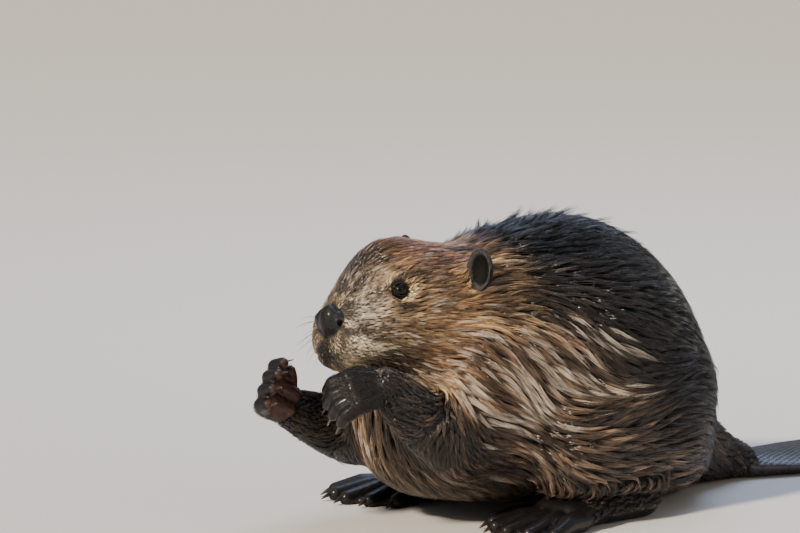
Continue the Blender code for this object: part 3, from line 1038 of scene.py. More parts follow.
@dataclass(frozen=True)
class TailPaddle:
    """The flat scaly paddle, thickest along its middle and laid on the floor."""

    start: float = 0.245
    tip: float = 0.500
    half_width: float = 0.060
    swing: float = 0.018
    scale_length: float = 6.4 * MM
    scale_width: float = 5.4 * MM

    def outline(self, share: Rows) -> tuple[Rows, Rows]:
        """Half width and half thickness at each share of the length.

        Args:
            share: Shares of the tail's length.

        Returns:
            Both measures in metres.
        """
        stops = (0.0, 0.10, 0.24, 0.42, 0.60, 0.76, 0.88, 0.96, 1.0)
        wide = (0.46, 0.62, 0.84, 0.98, 1.0, 0.92, 0.72, 0.44, 0.10)
        thick = (0.0125, 0.0115, 0.0105, 0.0098, 0.0090, 0.0080, 0.0068, 0.0058, 0.0045)
        return np.interp(share, stops, wide) * self.half_width, np.interp(share, stops, thick)

    def shapes(self) -> list[Object]:
        """Shapes a finely divided ball into the paddle.

        Returns:
            The shape.
        """
        obj = sphere("paddle", np.zeros(3), (1, 1, 1), segments=72, rings=72)
        ball = points_of(obj)
        polar = np.arccos(np.clip(-ball[:, 2], -1, 1)) / math.pi
        angle = np.arctan2(ball[:, 1], ball[:, 0])
        c, s = np.cos(angle), np.sin(angle)
        half, thick = self.outline(polar)
        flare = np.where((polar < 1e-4) | (polar > 1 - 1e-4), 0.0, 1.0)
        sunk = 0.0025
        x = self.start + polar * (self.tip - self.start)
        y = self.swing * polar ** 2 + np.sign(c) * np.abs(c) ** (2 / 1.75) * half * flare
        z = thick - sunk + np.sign(s) * np.abs(s) ** (2 / 1.75) * thick * flare
        set_points(obj, np.stack([x, y, z], axis=1) + STANCE.shift)
        return [obj]

    def plates(self, tree: BVHTree) -> Object:
        """Lays low horny plates in staggered rows on the paddle's top and underside.

        Args:
            tree: The skin of the paddle.

        Returns:
            The joined plates, with a tone for each.
        """
        dice = np.random.default_rng(3)
        around = np.arange(6) * math.pi / 3
        spread = np.concatenate([np.stack([np.cos(around), np.sin(around)], 1)] * 2 + [np.zeros((1, 2))])
        rows = np.arange(0.004, self.tip - self.start, self.scale_length * 0.80)
        points, tones, places = [], [], []
        for number, along in enumerate(rows):
            half, _ = self.outline(along / (self.tip - self.start))
            wide = self.scale_width * (0.62 + 0.38 * half / self.half_width)
            for column in range(-int(half / wide) - 1, int(half / wide) + 2):
                aside = (column + 0.5 * (number % 2)) * wide
                if abs(aside) > half - 1.5 * MM:
                    continue
                middle = self.swing * (along / (self.tip - self.start)) ** 2
                for face in (1, -1):
                    at = STANCE.on_trunk(self.start + along + dice.normal(0, 0.25 * MM),
                                         middle + aside + dice.normal(0, 0.2 * MM), 0.0)
                    spot, normal, _, _ = tree.ray_cast(Vector(at) + Vector((0, 0, 0.1 * face)),
                                                       Vector((0, 0, -face)))
                    if spot is None:
                        continue
                    up = np.array(normal)
                    back = unit(np.array((1.0, 0.0, 0.0)) - up * up[0])
                    left = np.cross(up, back)
                    ring = (back * (np.sin(around) * self.scale_length * 0.50)[:, None]
                            + left * (np.cos(around) * wide * 0.53)[:, None])
                    tilt = 0.22 * MM * np.sin(around)[:, None] * up
                    spot = np.array(spot)
                    points.append(np.concatenate([
                        spot + ring - up * 0.5 * MM,
                        spot + ring * 0.84 + up * 0.34 * MM + tilt,
                        (spot + back * 0.3 * MM + up * 0.62 * MM)[None, :]]))
                    tones.append(dice.uniform(0, 1))
                    across = 0.25 * aside / self.half_width * 0.95
                    places.append((0.25 + 0.25 * (1 - face) + across, 0.02 + 0.96 * along / rows[-1])
                                  + PATCH_HALF * spread)
        turn = (np.arange(6) + 1) % 6
        quads = np.stack([np.arange(6), turn, turn + 6, np.arange(6) + 6], axis=1)
        triangles = np.concatenate([np.stack([np.arange(6) + 6, turn + 6, np.full(6, 12)], axis=1),
                                    [(0, 2, 1), (0, 3, 2), (0, 4, 3), (0, 5, 4)]])
        start = (np.arange(len(points)) * 13)[:, None, None]
        joined = np.concatenate(points)
        joined[:, 2] = np.maximum(joined[:, 2], HORN_FLOOR)
        obj = array_mesh("tail_plates", joined, (start + quads).reshape(-1, 4),
                         (start + triangles).reshape(-1, 3))
        store(obj, "Tone", np.repeat(tones, 13))
        add_unwrap(obj, np.concatenate(places))
        obj.data.shade_flat()
        return obj


@dataclass(frozen=True)
class Ear:
    """A small round cupped ear."""

    hand: str
    at: tuple = (0.0015, 0.0560, 0.2295)
    half: tuple = (0.0076, 0.0145, 0.0195)  # depth, width, height

    def axes(self) -> Matrix:
        """The ear's own axes: where it faces, outwards, and up its middle.

        Returns:
            The axes as columns.
        """
        side = -SIDES[self.hand]
        face = unit(STANCE.forward * 0.97 + STANCE.left * 0.20 * side + UP * 0.08)
        reach = unit(STANCE.left * side - face * (face @ STANCE.left) * side)
        rise = np.cross(face, reach)
        return Matrix((face, reach, rise)).transposed()

    @property
    def middle(self) -> Rows:
        """The middle of the ear."""
        forward, out, height = self.at
        return STANCE.on_head(forward, -out * SIDES[self.hand], height)

    def local(self, points: Rows) -> Rows:
        """Positions along the ear's own axes, from its middle."""
        return (points - self.middle) @ np.array(self.axes())

    def shapes(self) -> list[Object]:
        """Dishes a ball into a cup with a rolled rim.

        Returns:
            The shape.
        """
        obj = sphere("ear", np.zeros(3), (1, 1, 1), segments=48, rings=32)
        ball = points_of(obj)
        out = np.hypot(ball[:, 1], ball[:, 2])
        front = ball[:, 0] > 0
        deep = np.where(front, ball[:, 0] * (0.62 - 1.25 * (1 - out ** 2.5)), ball[:, 0])
        curl = 0.35 * ease(0.6, 1.0, out) - 0.15
        shaped = np.stack([(deep + curl) * self.half[0], ball[:, 1] * self.half[1],
                           ball[:, 2] * self.half[2]], axis=1)
        set_points(obj, self.middle + shaped @ np.array(self.axes()).T)
        return [obj]


@dataclass(frozen=True)
class NosePad:
    """The broad nose pad between the nostrils."""

    at: tuple = (0.1235, 0.0, 0.1885)

    def shapes(self) -> list[Object]:
        """Builds the middle, the two nostril wings and the strip to the lip.

        Returns:
            The shapes to fuse.
        """
        turn = Matrix((STANCE.forward, STANCE.left, UP)).transposed()
        balls = [((0.0005, 0.0, 0.0), (0.0085, 0.0105, 0.0142)),
                 ((-0.001, 0.0, -0.0125), (0.006, 0.0062, 0.006))]
        balls += [((-0.0015, 0.0092 * side, -0.0008), (0.0085, 0.0090, 0.0112)) for side in (-1, 1)]
        return [sphere("nose", STANCE.on_head(*(np.array(self.at) + place)), radii, turn, 40, 28)
                for place, radii in balls]


PAWS = {
    "left": dict(wrist=(-0.2120, -0.0540, 0.1360), way=(-0.86, 0.30, -0.10),
                 faces=(0.10, 0.72, -0.66), spread=26.0, curl=math.radians(52), reach=0.031),
    "right": dict(wrist=(-0.2330, 0.0490, 0.1060), way=(-0.80, 0.00, 0.56),
                  faces=(0.22, -0.95, 0.05), spread=44.0, curl=math.radians(50), reach=0.032),
}
ELBOWS = {"left": (-0.148, -0.068, 0.080), "right": (-0.148, 0.068, 0.072)}
EYE_AT = (0.0765, 0.0380, 0.2160)
EYE_RADIUS = 0.0072
LID_HALF = (6.3 * MM, 5.3 * MM)  # half width and half height of the opening between the lids


def eye_middle(side: int) -> Rows:
    """The middle of one eye: the left with side 1, the right with -1."""
    return STANCE.on_head(EYE_AT[0], EYE_AT[1] * side, EYE_AT[2])


def eye_frame(points: Rows, side: int) -> tuple[Rows, ...]:
    """Measures points from one eye, along the way it looks out.

    Args:
        points: Rows of positions.
        side: 1 for the left eye, -1 for the right.

    Returns:
        The outward direction, then for each point its depth, its place along and across
        the opening, and its distance in units of the opening's size.
    """
    out = unit(STANCE.left * 0.92 * side + STANCE.forward * 0.26 + UP * 0.28)
    along = unit(STANCE.forward - out * (STANCE.forward @ out))
    upward = np.cross(out, along)
    upward = upward * np.sign(upward[2])
    away = points - eye_middle(side)
    u, v = away @ along, away @ upward
    return out, away @ out, u, v, np.hypot(u / LID_HALF[0], (v - 0.10 * u) / LID_HALF[1])


# ------------ regions and markings
@dataclass
class Places:
    """Soft weights that tell the parts of the body apart at each point."""

    points: Rows
    head_at: Rows = field(init=False)
    trunk_at: Rows = field(init=False)
    head: Rows = field(init=False)
    arm: Rows = field(init=False)
    arm_along: Rows = field(init=False)
    arm_way: Rows = field(init=False)
    tail: Rows = field(init=False)
    foot: Rows = field(init=False)
    eye: Rows = field(init=False)

    def __post_init__(self) -> None:
        """Measures every point once."""
        self.head_at = STANCE.to_head(self.points)
        self.trunk_at = self.points - STANCE.shift
        f, l, h = self.head_at.T
        x, y, z = self.trunk_at.T
        stations = (-0.062, -0.008, 0.038, 0.079, 0.107, 0.1245, 0.1295)
        low = np.interp(f, stations, (0.080, 0.104, 0.125, 0.1335, 0.1375, 0.1445, 0.152))
        side = np.interp(f, stations, (0.074, 0.075, 0.0665, 0.054, 0.0395, 0.0265, 0.016))
        self.head = (ease(-0.050, -0.012, f) * ease(-0.008, 0.005, h - low)
                     * ease(0.013, 0.001, np.abs(l) - side))
        self.arm = np.zeros(len(x))
        self.arm_along = np.zeros(len(x))
        self.arm_way = np.zeros((len(x), 3))
        for hand, elbow in ELBOWS.items():
            start, end = np.array(elbow), np.array(PAWS[hand]["wrist"])
            line = end - start
            t = ((self.trunk_at - start) @ line) / (line @ line)
            away = np.linalg.norm(self.trunk_at - start - np.clip(t, 0, 1.4)[:, None] * line, axis=1)
            weight = ease(0.040, 0.028, away) * ease(-0.15, 0.30, t) * (1 - self.head)
            nearer = weight > self.arm
            self.arm = np.maximum(self.arm, weight)
            self.arm_along = np.where(nearer, t, self.arm_along)
            turned = ease(0.0, 0.9, t)[:, None]
            way = unit(line) * turned + np.array((0.30, 0.0, -1.0)) * (1 - turned)
            self.arm_way[nearer] = way[nearer]
        self.tail = ease(0.165, 0.215, x) * ease(0.11, 0.07, np.abs(y))
        self.foot = ease(0.048, 0.032, z) * ease(0.062, 0.078, np.abs(y)) * ease(0.085, 0.060, x)
        self.eye = np.linalg.norm(self.folded_head - np.array(EYE_AT), axis=1)

    @property
    def seam(self) -> Rows:
        """Where arm and body meet."""
        return 4 * self.arm * (1 - self.arm)

    @property
    def folded_head(self) -> Rows:
        """Head positions with both sides laid on the left."""
        return fold(self.head_at)

    @property
    def folded_trunk(self) -> Rows:
        """Trunk positions with both sides laid on one."""
        return fold(self.trunk_at)


@dataclass(frozen=True)
class Patch:
    """One marking: a soft-edged area of a colour."""

    colour: str
    centre: tuple
    radii: tuple
    strength: float = 1.0

    def weight(self, where: Rows) -> Rows:
        """How strongly it shows at each point."""
        return bump_at(where, self.centre, self.radii) * self.strength


@dataclass(frozen=True)
class Markings:
    """The coat's colours, with painted shadow under the jaw and on the throat, the same on both sides of the
    animal and on skin and hair.
    """

    trunk: tuple = (
        Patch("#5f4b3c", (-0.085, 0.090, 0.172), (0.055, 0.050, 0.024), 0.65),
        Patch("#7d5f45", (-0.135, 0.085, 0.140), (0.055, 0.050, 0.032), 0.90),
        Patch("#937a62", (-0.060, 0.105, 0.132), (0.058, 0.050, 0.030), 0.92),
        Patch("#8a6e55", (-0.180, 0.035, 0.095), (0.040, 0.050, 0.035), 0.70),
        Patch("#6a543f", (-0.030, 0.120, 0.085), (0.100, 0.060, 0.026), 0.55),
        Patch("#5f4a36", (0.000, 0.000, 0.020), (0.160, 0.120, 0.030), 0.60),
        # painted shadow: darkens the throat just under the jaw
        Patch("#2c1f17", (-0.180, 0.035, 0.130), (0.026, 0.040, 0.014), 0.90),
    )
    head: tuple = (
        Patch("#8f5f4a", (0.030, 0.020, 0.262), (0.075, 0.050, 0.034), 0.90),
        Patch("#3a2a24", (-0.040, 0.000, 0.262), (0.035, 0.060, 0.040), 0.85),
        Patch("#26201c", (0.104, 0.000, 0.230), (0.032, 0.029, 0.030), 0.96),
        Patch("#a98863", (0.045, 0.066, 0.200), (0.045, 0.030, 0.030), 0.75),
        Patch("#a58b6d", (0.0880, 0.033, 0.2160), (0.018, 0.018, 0.016), 0.85),
        Patch("#978d80", (0.110, 0.029, 0.196), (0.018, 0.022, 0.018), 0.95),
        Patch("#8a6f4e", (0.092, 0.044, 0.180), (0.020, 0.020, 0.014), 0.70),
        Patch("#d4c2a4", (0.117, 0.030, 0.166), (0.017, 0.020, 0.017), 0.97),
        # painted shadow: darkens the jaw's underside, where cheek, shoulder and forearm shade it
        Patch("#170c07", (0.082, 0.049, 0.154), (0.036, 0.038, 0.022), 0.98),
        Patch("#120e0e", (0.129, 0.000, 0.161), (0.016, 0.024, 0.021), 0.97),
        Patch("#241a16", (0.105, 0.000, 0.138), (0.030, 0.022, 0.012), 0.90),
        Patch("#d6a877", (0.014, 0.050, 0.221), (0.021, 0.020, 0.030), 0.95),
        Patch("#8c6c4c", (-0.004, 0.070, 0.190), (0.022, 0.022, 0.022), 0.50),
        Patch("#694a33", (0.038, 0.066, 0.162), (0.036, 0.028, 0.022), 0.88),
    )
    # painted highlights: where pale locks stand in for the sun's glints on the wet shoulder, flank and back
    frosted: tuple = (
        Patch("#ffffff", (-0.125, 0.090, 0.130), (0.056, 0.055, 0.034), 0.50),
        Patch("#ffffff", (-0.055, 0.105, 0.133), (0.064, 0.055, 0.036), 0.62),
        Patch("#ffffff", (-0.100, 0.080, 0.195), (0.060, 0.050, 0.030), 0.08),
    )
    # pale locks on the face: partly the cheeks' and muzzle's own pale hair, partly painted highlights
    frosted_head: tuple = (
        Patch("#ffffff", (0.098, 0.035, 0.202), (0.030, 0.030, 0.022), 0.22),
        Patch("#ffffff", (0.112, 0.036, 0.168), (0.022, 0.020, 0.018), 0.40),
        Patch("#ffffff", (0.030, 0.068, 0.172), (0.050, 0.030, 0.035), 0.12),
    )

    def frost(self, places: Places) -> Rows:
        """The share of pale locks at each point: painted highlights of the wet coat on the body, and on the
        face partly the hair's own pale colour, partly painted highlights.

        Args:
            places: The points, measured from the body.

        Returns:
            Shares from 0 to 1.
        """
        size = len(places.points)
        body = sum((patch.weight(places.folded_trunk) for patch in self.frosted), np.full(size, 0.002))
        body = body * (1 - 0.85 * ease(-0.01, 0.04, places.trunk_at[:, 0]))
        face = sum((patch.weight(places.folded_head) for patch in self.frosted_head), np.full(size, 0.05))
        return layer(body, (places.head, face)) * (1 - places.arm) ** 3

    def colour(self, places: Places) -> Rows:
        """The coat's linear colour at each point, painted shadows included.

        Args:
            places: The measured points.

        Returns:
            Rows of linear red, green and blue.
        """
        folded = places.folded_trunk
        x, _, z = folded.T
        dark = ease(-0.050, 0.040, x + 0.5 * (z - 0.14)) * ease(0.06, 0.10, z)
        dark = np.maximum(ease(0.190, 0.236, z), dark)
        body = layer(self.lay("#52453a", self.trunk, folded), (dark, linear("#0f0d0e")),
                     (ease(0.0, 0.7, places.arm) * 0.88, linear("#0e0908")),
                     (places.tail * 0.8, linear("#32241c")), (places.foot * 0.9, linear("#241a15")))
        return layer(body, (places.head, self.lay("#a08562", self.head, places.folded_head)))

    def lay(self, ground: str, patches: tuple[Patch, ...], where: Rows) -> Rows:
        """Lays patches over a ground colour."""
        return layer(np.tile(linear(ground), (len(where), 1)),
                     *((patch.weight(where), linear(patch.colour)) for patch in patches))


@dataclass(frozen=True)
class CoatMap:
    """How deep, long and broad the coat is from place to place."""

    def depth(self, places: Places) -> Rows:
        """How far the skin lies below the tips of the coat, in metres.

        Args:
            places: The points, measured from the body.

        Returns:
            One value for each point.
        """
        x, _, z = places.trunk_at.T
        deep = 7.5 - 3.0 * ease(0.045, 0.020, z)
        face = np.interp(places.head_at[:, 0], (-0.03, 0.0, 0.04, 0.08, 0.105, 0.120, 0.130),
                         (6.5, 5.0, 3.8, 2.8, 1.6, 0.6, 0.3))
        arm = np.interp(places.arm_along, (0.0, 0.5, 1.0), (4.0, 2.0, 0.8))
        tail = np.interp(x, (0.17, 0.23, 0.262), (6.5, 2.2, 0.3))
        return MM * layer(deep, (places.foot, 1.6), (places.head, face), (places.arm, arm),
                          (places.tail, tail))

    def length(self, places: Places) -> Rows:
        """Length of the guard hair, in metres.

        Args:
            places: The points, measured from the body.

        Returns:
            One value for each point.
        """
        x, _, z = places.trunk_at.T
        f, _, h = places.head_at.T
        long = 38.0 - 14.0 * ease(0.05, 0.02, z)
        face = np.interp(f, (-0.03, 0.0, 0.03, 0.06, 0.09, 0.110, 0.125),
                         (30.0, 27.0, 26.0, 22.5, 14.5, 7.8, 3.7))
        face = face + 5.0 * ease(0.20, 0.17, h) * ease(0.09, 0.05, f)
        face = face + 4.5 * ease(0.166, 0.156, h) * ease(0.08, 0.11, f)
        arm = np.interp(places.arm_along, (0.0, 0.6, 1.0), (22.0, 17.0, 9.0))
        tail = np.interp(x, (0.17, 0.23, 0.262), (26.0, 14.0, 6.0))
        long = layer(long, (places.foot, 12.0), (places.head, face), (places.arm, arm), (places.tail, tail))
        near_eye = np.maximum(2.5, 0.9 * (places.eye / MM - 5.0))
        return np.minimum(long, np.where(places.eye < 0.020, near_eye, long)) * MM

    def width(self, places: Places) -> Rows:
        """Width of one strand at its root, in metres.

        Args:
            places: The points, measured from the body.

        Returns:
            One value for each point.
        """
        face = np.interp(places.head_at[:, 0], (-0.02, 0.03, 0.09, 0.12), (0.74, 0.56, 0.44, 0.35))
        return MM * layer(0.84, (places.foot, 0.66), (places.head, face), (places.arm, 0.62),
                          (places.tail, 0.72))

    def spacing(self, places: Places) -> Rows:
        """Distance between the roots of neighbouring locks, in metres.

        Args:
            places: The points, measured from the body.

        Returns:
            One value for each point.
        """
        _, _, z = places.trunk_at.T
        face = np.interp(places.head_at[:, 0], (-0.03, 0.03, 0.09, 0.12), (4.0, 3.02, 2.27, 1.72))
        apart = 5.9 + 3.4 * ease(0.05, 0.02, z)
        apart = layer(apart, (places.foot, 3.9), (places.head, face), (places.arm, 3.3))
        apart = apart - 2.2 * places.seam * (1 - places.head)
        apart = apart * (1 - 0.38 * ease(0.019, 0.010, places.eye))
        return MM * layer(apart, (places.tail, 4.5))


@dataclass(frozen=True)
class Lie:
    """Which way the coat lies."""

    def direction(self, places: Places, normals: Rows) -> Rows:
        """The direction of the hair at each point, along the surface.

        Args:
            places: The measured points.
            normals: The surface's outward normals there.

        Returns:
            Unit rows, each at right angles to its normal.
        """
        way = unit(self.on_trunk(places, normals) * (1 - places.head)[:, None]
                   + self.on_head(places) * places.head[:, None])
        hold = ease(0.20, 0.80, places.arm)[:, None]
        way = way * (1 - hold) + places.arm_way * hold
        way = way - UP * (0.9 * places.seam * (1 - places.head))[:, None]
        way = unit(flatten(way, normals))
        turn = 0.30 * grain(places.points, 32 * MM, 11) + 0.12 * grain(places.points, 9 * MM, 12)
        aside = np.cross(normals, way)
        return unit(way * np.cos(turn)[:, None] + aside * np.sin(turn)[:, None])

    def on_trunk(self, places: Places, normals: Rows) -> Rows:
        """The lie on neck, trunk, haunches and tail root.

        Args:
            places: The points, measured from the body.
            normals: The surface normals there.

        Returns:
            Directions.
        """
        where = places.folded_trunk
        x, y, z = places.trunk_at.T
        slope = np.full(len(x), -0.16)
        slope -= 0.95 * bump_at(where, (-0.095, 0.09, 0.150), (0.070, 0.09, 0.065))
        slope -= 0.55 * bump_at(where, (-0.030, 0.12, 0.170), (0.070, 0.09, 0.050))
        slope -= 1.60 * ease(-0.125, -0.170, x) * ease(0.150, 0.110, z)
        slope += 0.42 * bump_at(where, (0.030, 0.12, 0.095), (0.080, 0.07, 0.032))
        slope -= 0.75 * ease(0.075, 0.135, x)
        slope *= ease(-0.9, -0.3, normals[:, 2])
        ahead = 1 - 2 * places.foot
        slope = slope * (1 - places.foot) - 0.35 * places.foot
        aside = 0.35 * ease(0.55, 0.95, normals[:, 2]) * np.sign(y) * ease(0.0, 0.04, np.abs(y))
        gather = -0.8 * np.sign(y) * ease(0.10, 0.16, x) * ease(0.12, 0.05, z)
        return np.stack([ahead, aside + gather, slope], axis=1)

    def on_head(self, places: Places) -> Rows:
        """The lie on the head: back from the nose, round the eyes and down the cheeks.

        Args:
            places: The points, measured from the body.

        Returns:
            Directions.
        """
        f, l, h = places.head_at.T
        side = np.sign(l)
        forward = np.full(len(f), -1.0)
        left = 0.12 * side
        height = -0.22 * ease(0.205, 0.165, h) * ease(0.115, 0.08, f)
        height = height - 0.55 * ease(0.155, 0.130, h) - 0.75 * ease(0.025, -0.02, f) * ease(0.21, 0.16, h)
        radial = places.head_at - np.array((0.112, 0.0, 0.188))
        near = np.exp(-(np.linalg.norm(radial, axis=1) / 0.030) ** 2)
        radial = unit(radial)
        eye = places.head_at - np.stack([np.full(len(f), EYE_AT[0]), side * EYE_AT[1],
                                         np.full(len(f), EYE_AT[2])], axis=1)
        round_eye = np.exp(-(places.eye / 0.0115) ** 2) * 1.6
        eye = unit(eye)
        parts = [base * (1 - near) + radial[:, k] * near * 1.4 + eye[:, k] * round_eye
                 for k, base in enumerate((forward, left, height))]
        return STANCE.head_ways(*parts)


# ------------ the skin
class Hide(Enum):
    """What covers a stretch of skin. The values are material slots."""

    FUR = 0
    NOSE = 1
    PAW = 2
    TAIL = 3
    EAR = 4


@dataclass
class Skin:
    """One seamless skin under the coat, with bare paws, tail, nose and ears."""

    core_voxel: float = 4.0 * MM
    voxel: float = 1.7 * MM
    overlap: float = 0.3 * MM
    floor: float = 0.15 * MM
    lid_reach: float = 8.6 * MM
    cover_reach: float = 9 * MM  # how far a cover is looked for
    paws: dict[str, Forepaw] = field(default_factory=dict)
    feet: dict[str, HindFoot] = field(default_factory=dict)
    tail: TailPaddle = field(default_factory=TailPaddle)
    ears: dict[str, Ear] = field(default_factory=dict)
    nose: NosePad = field(default_factory=NosePad)
    obj: Object | None = None
    hide: Rows | None = None

    core: tuple = ("head", "neck", "trunk", "tail_root", "haunch_left", "haunch_right",
                   "forearm_left", "forearm_right")
    bare: tuple = ("forepaw_left", "forepaw_right", "hind_foot_left", "hind_foot_right",
                   "tail_paddle", "ear_left", "ear_right", "nose_pad")

    def build(self) -> None:
        """Builds, fuses, sculpts and dresses the skin."""
        core = self.build_core()
        groups = self.build_bare_parts()
        trees = {kind: surface_tree(obj) for kind, obj in groups.items()}
        boxes = {kind: (points_of(obj).min(0) - 3 * MM, points_of(obj).max(0) + 3 * MM)
                 for kind, obj in groups.items()}
        core_tree = surface_tree(core)
        self.obj = join_all([core, *groups.values()], "skin")
        self.remesh(self.voxel, 3)
        self.thin_out(self.sort_hide(trees, boxes, core_tree))
        self.refine()
        self.hide = self.sort_hide(trees, boxes, core_tree)
        self.hide[Places(points_of(self.obj)).eye < self.lid_reach] = Hide.NOSE.value
        self.bare_wrists()
        points = self.shape_muzzle(self.shape_lids(points_of(self.obj)))
        points[:, 2] = np.maximum(points[:, 2], self.floor)
        set_points(self.obj, points)
        self.finish()

    def build_core(self) -> Object:
        """Fuses the furred solids and draws them in by the coat's depth.

        Returns:
            The fused solids.
        """
        copies = []
        for name in self.core:
            mesh = frame["nodes"][name].data.copy()
            obj = bpy.data.objects.new(f"core_{name}", mesh)
            bpy.context.scene.collection.objects.link(obj)
            bm = bmesh.new()
            bm.from_mesh(mesh)
            bmesh.ops.remove_doubles(bm, verts=bm.verts, dist=0.01 * MM)
            bm.to_mesh(mesh)
            bm.free()
            set_points(obj, points_of(obj) + normals_of(obj) * self.overlap)
            copies.append(obj)
        self.obj = join_all(copies, "core")
        self.remesh(self.core_voxel, 8)
        points = points_of(self.obj)
        depth = CoatMap().depth(Places(points))
        for share in (0.5, 0.5):
            set_points(self.obj, points_of(self.obj) - normals_of(self.obj) * (depth * share)[:, None])
        self.relax(2)
        LOG.info("core: %d faces", len(self.obj.data.polygons))
        return self.obj

    def build_bare_parts(self) -> dict[Hide, Object]:
        """Models paws, feet, tail, ears and nose finely, one object for each kind.

        Returns:
            The parts by kind.
        """
        paws = []
        for hand in SIDES:
            self.paws[hand] = Forepaw(hand, **PAWS[hand])
            self.feet[hand] = HindFoot(hand)
            self.ears[hand] = Ear(hand)
            paws += self.paws[hand].shapes() + self.feet[hand].shapes()
        ears = [shape for ear in self.ears.values() for shape in ear.shapes()]
        return {
            Hide.PAW: join_all(paws, "paws"),
            Hide.TAIL: join_all(self.tail.shapes(), "paddle"),
            Hide.EAR: join_all(ears, "ears"),
            Hide.NOSE: join_all(self.nose.shapes(), "nose"),
        }

    def remesh(self, voxel: float, rounds: int) -> None:
        """Melts the object's shells into one and relaxes it.

        Args:
            voxel: Width of a cell in metres.
            rounds: How many times the surface is smoothed.
        """
        fuse = self.obj.modifiers.new("fuse", "REMESH")
        fuse.mode = "VOXEL"
        fuse.voxel_size = voxel
        self.relax(rounds)

    def relax(self, rounds: int) -> None:
        """Smooths the surface a number of times.

        Args:
            rounds: How many times the surface is smoothed.
        """
        smooth = self.obj.modifiers.new("relax", "SMOOTH")
        smooth.factor = 0.5
        smooth.iterations = rounds
        apply_modifiers(self.obj)

    def sort_hide(self, trees: dict, boxes: dict, core_tree: BVHTree) -> Rows:
        """Finds what covers each vertex from the nearest of the shapes it was fused from.

        Args:
            trees: A search tree for each kind of cover.
            boxes: Each cover's lowest and highest corner.
            core_tree: A search tree of the furred part.

        Returns:
            Each vertex's cover.
        """
        points = points_of(self.obj)
        hide = np.full(len(points), Hide.FUR.value)
        nearest = np.full(len(points), np.inf)
        for kind, tree in trees.items():
            low, high = boxes[kind]
            inside = np.flatnonzero(np.all((points > low) & (points < high), axis=1))
            to_core = distances(core_tree, points[inside], self.cover_reach)
            away = distances(tree, points[inside], self.cover_reach)
            better = (away < to_core + 0.1 * MM) & (away < nearest[inside])
            hide[inside[better]] = kind.value
            nearest[inside[better]] = away[better]
        return hide

    def bare_wrists(self) -> None:
        """Lets the coat run over the wrists and down the tops of the hind feet."""
        points = points_of(self.obj)
        normals = normals_of(self.obj)
        trunk = points - STANCE.shift
        for paw in self.paws.values():
            away = points - paw.at_wrist
            near = (np.linalg.norm(away, axis=1) < 0.06) & (away @ unit(np.array(paw.way)) < 0.008)
            self.hide[near & (self.hide == Hide.PAW.value)] = Hide.FUR.value
        top = (trunk[:, 2] > 0.007) & (trunk[:, 2] < 0.06) & (normals[:, 2] > -0.3)
        foot = top & (trunk[:, 0] > -0.040)
        self.hide[foot & (self.hide == Hide.PAW.value)] = Hide.FUR.value

    def thin_out(self, hide: Rows) -> None:
        """Spends fewer facets where thick fur hides the skin.

        Args:
            hide: Each vertex's cover.
        """
        places = Places(points_of(self.obj))
        furred = (hide == Hide.FUR.value) & (places.eye > 0.020)
        group = self.obj.vertex_groups.new(name="furred")
        group.add([int(k) for k in np.flatnonzero(furred)], 1.0, "REPLACE")
        faces = 2 * len(self.obj.data.polygons)
        share = furred.mean()
        wanted = faces * (1 - share) + 26000
        thin = self.obj.modifiers.new("thin", "DECIMATE")
        thin.ratio = min(1.0, wanted / faces)
        thin.vertex_group = "furred"
        apply_modifiers(self.obj)
        self.obj.vertex_groups.clear()
        LOG.info("skin: %d facets thinned to %d, %.2f furred", faces, len(self.obj.data.polygons), share)

    def refine(self) -> None:
        """Adds facets round the eyes and on the nose for the sculpting."""
        points, normals, triangles = points_of(self.obj), normals_of(self.obj), corners_of(self.obj)
        for reach, first in ((0.0165, True), (0.0120, False)):
            places = Places(points)
            f, l, h = places.head_at.T
            near = places.eye < reach
            if first:
                near |= (f > 0.100) & (np.abs(l) < 0.040) & (h > 0.145) & (h < 0.212)
            else:
                near |= (f > 0.112) & (np.abs(l) < 0.025) & (h > 0.172) & (h < 0.205)
            points, normals, triangles = split_edges(points, normals, triangles, near)
        near = np.zeros(len(points), bool)
        for side in (-1, 1):
            _, a, _, _, e = eye_frame(points, side)
            near |= (np.abs(e - 1.0) < 0.20) & (a > -7 * MM) & (a < 20 * MM)
        points, normals, triangles = split_edges(points, normals, triangles, near)
        bpy.data.objects.remove(self.obj)
        self.obj = array_mesh("skin", points, np.zeros((0, 4), int), triangles)

    def shape_lids(self, points: Rows) -> Rows:
        """Draws the skin round each eyeball into a thin-edged lid.

        Args:
            points: The skin's vertices.

        Returns:
            The moved vertices.
        """
        moved = points.copy()
        lid = 0.55 * MM
        for side in (-1, 1):
            out, a, u, v, e = eye_frame(moved, side)
            near = (e < 2.6) & (a > -7 * MM)
            r2 = u * u + v * v
            under = np.sqrt(np.maximum(EYE_RADIUS ** 2 - r2, 0)) - 2.2 * MM
            shell = np.sqrt(np.maximum((EYE_RADIUS + lid) ** 2 - r2, (1.5 * MM) ** 2))
            shell = shell + 0.35 * MM * np.exp(-((e - 1.12) / 0.10) ** 2)
            crease = -0.45 * MM * np.exp(-((e - 1.62) / 0.13) ** 2) * ease(-0.2, 0.5, v / LID_HALF[1])
            blend = ease(1.35, 2.4, e)
            target = np.where(e < 1.0, under, shell * (1 - blend) + a * blend + crease)
            moved += np.where(near, target - a, 0.0)[:, None] * out
        return moved

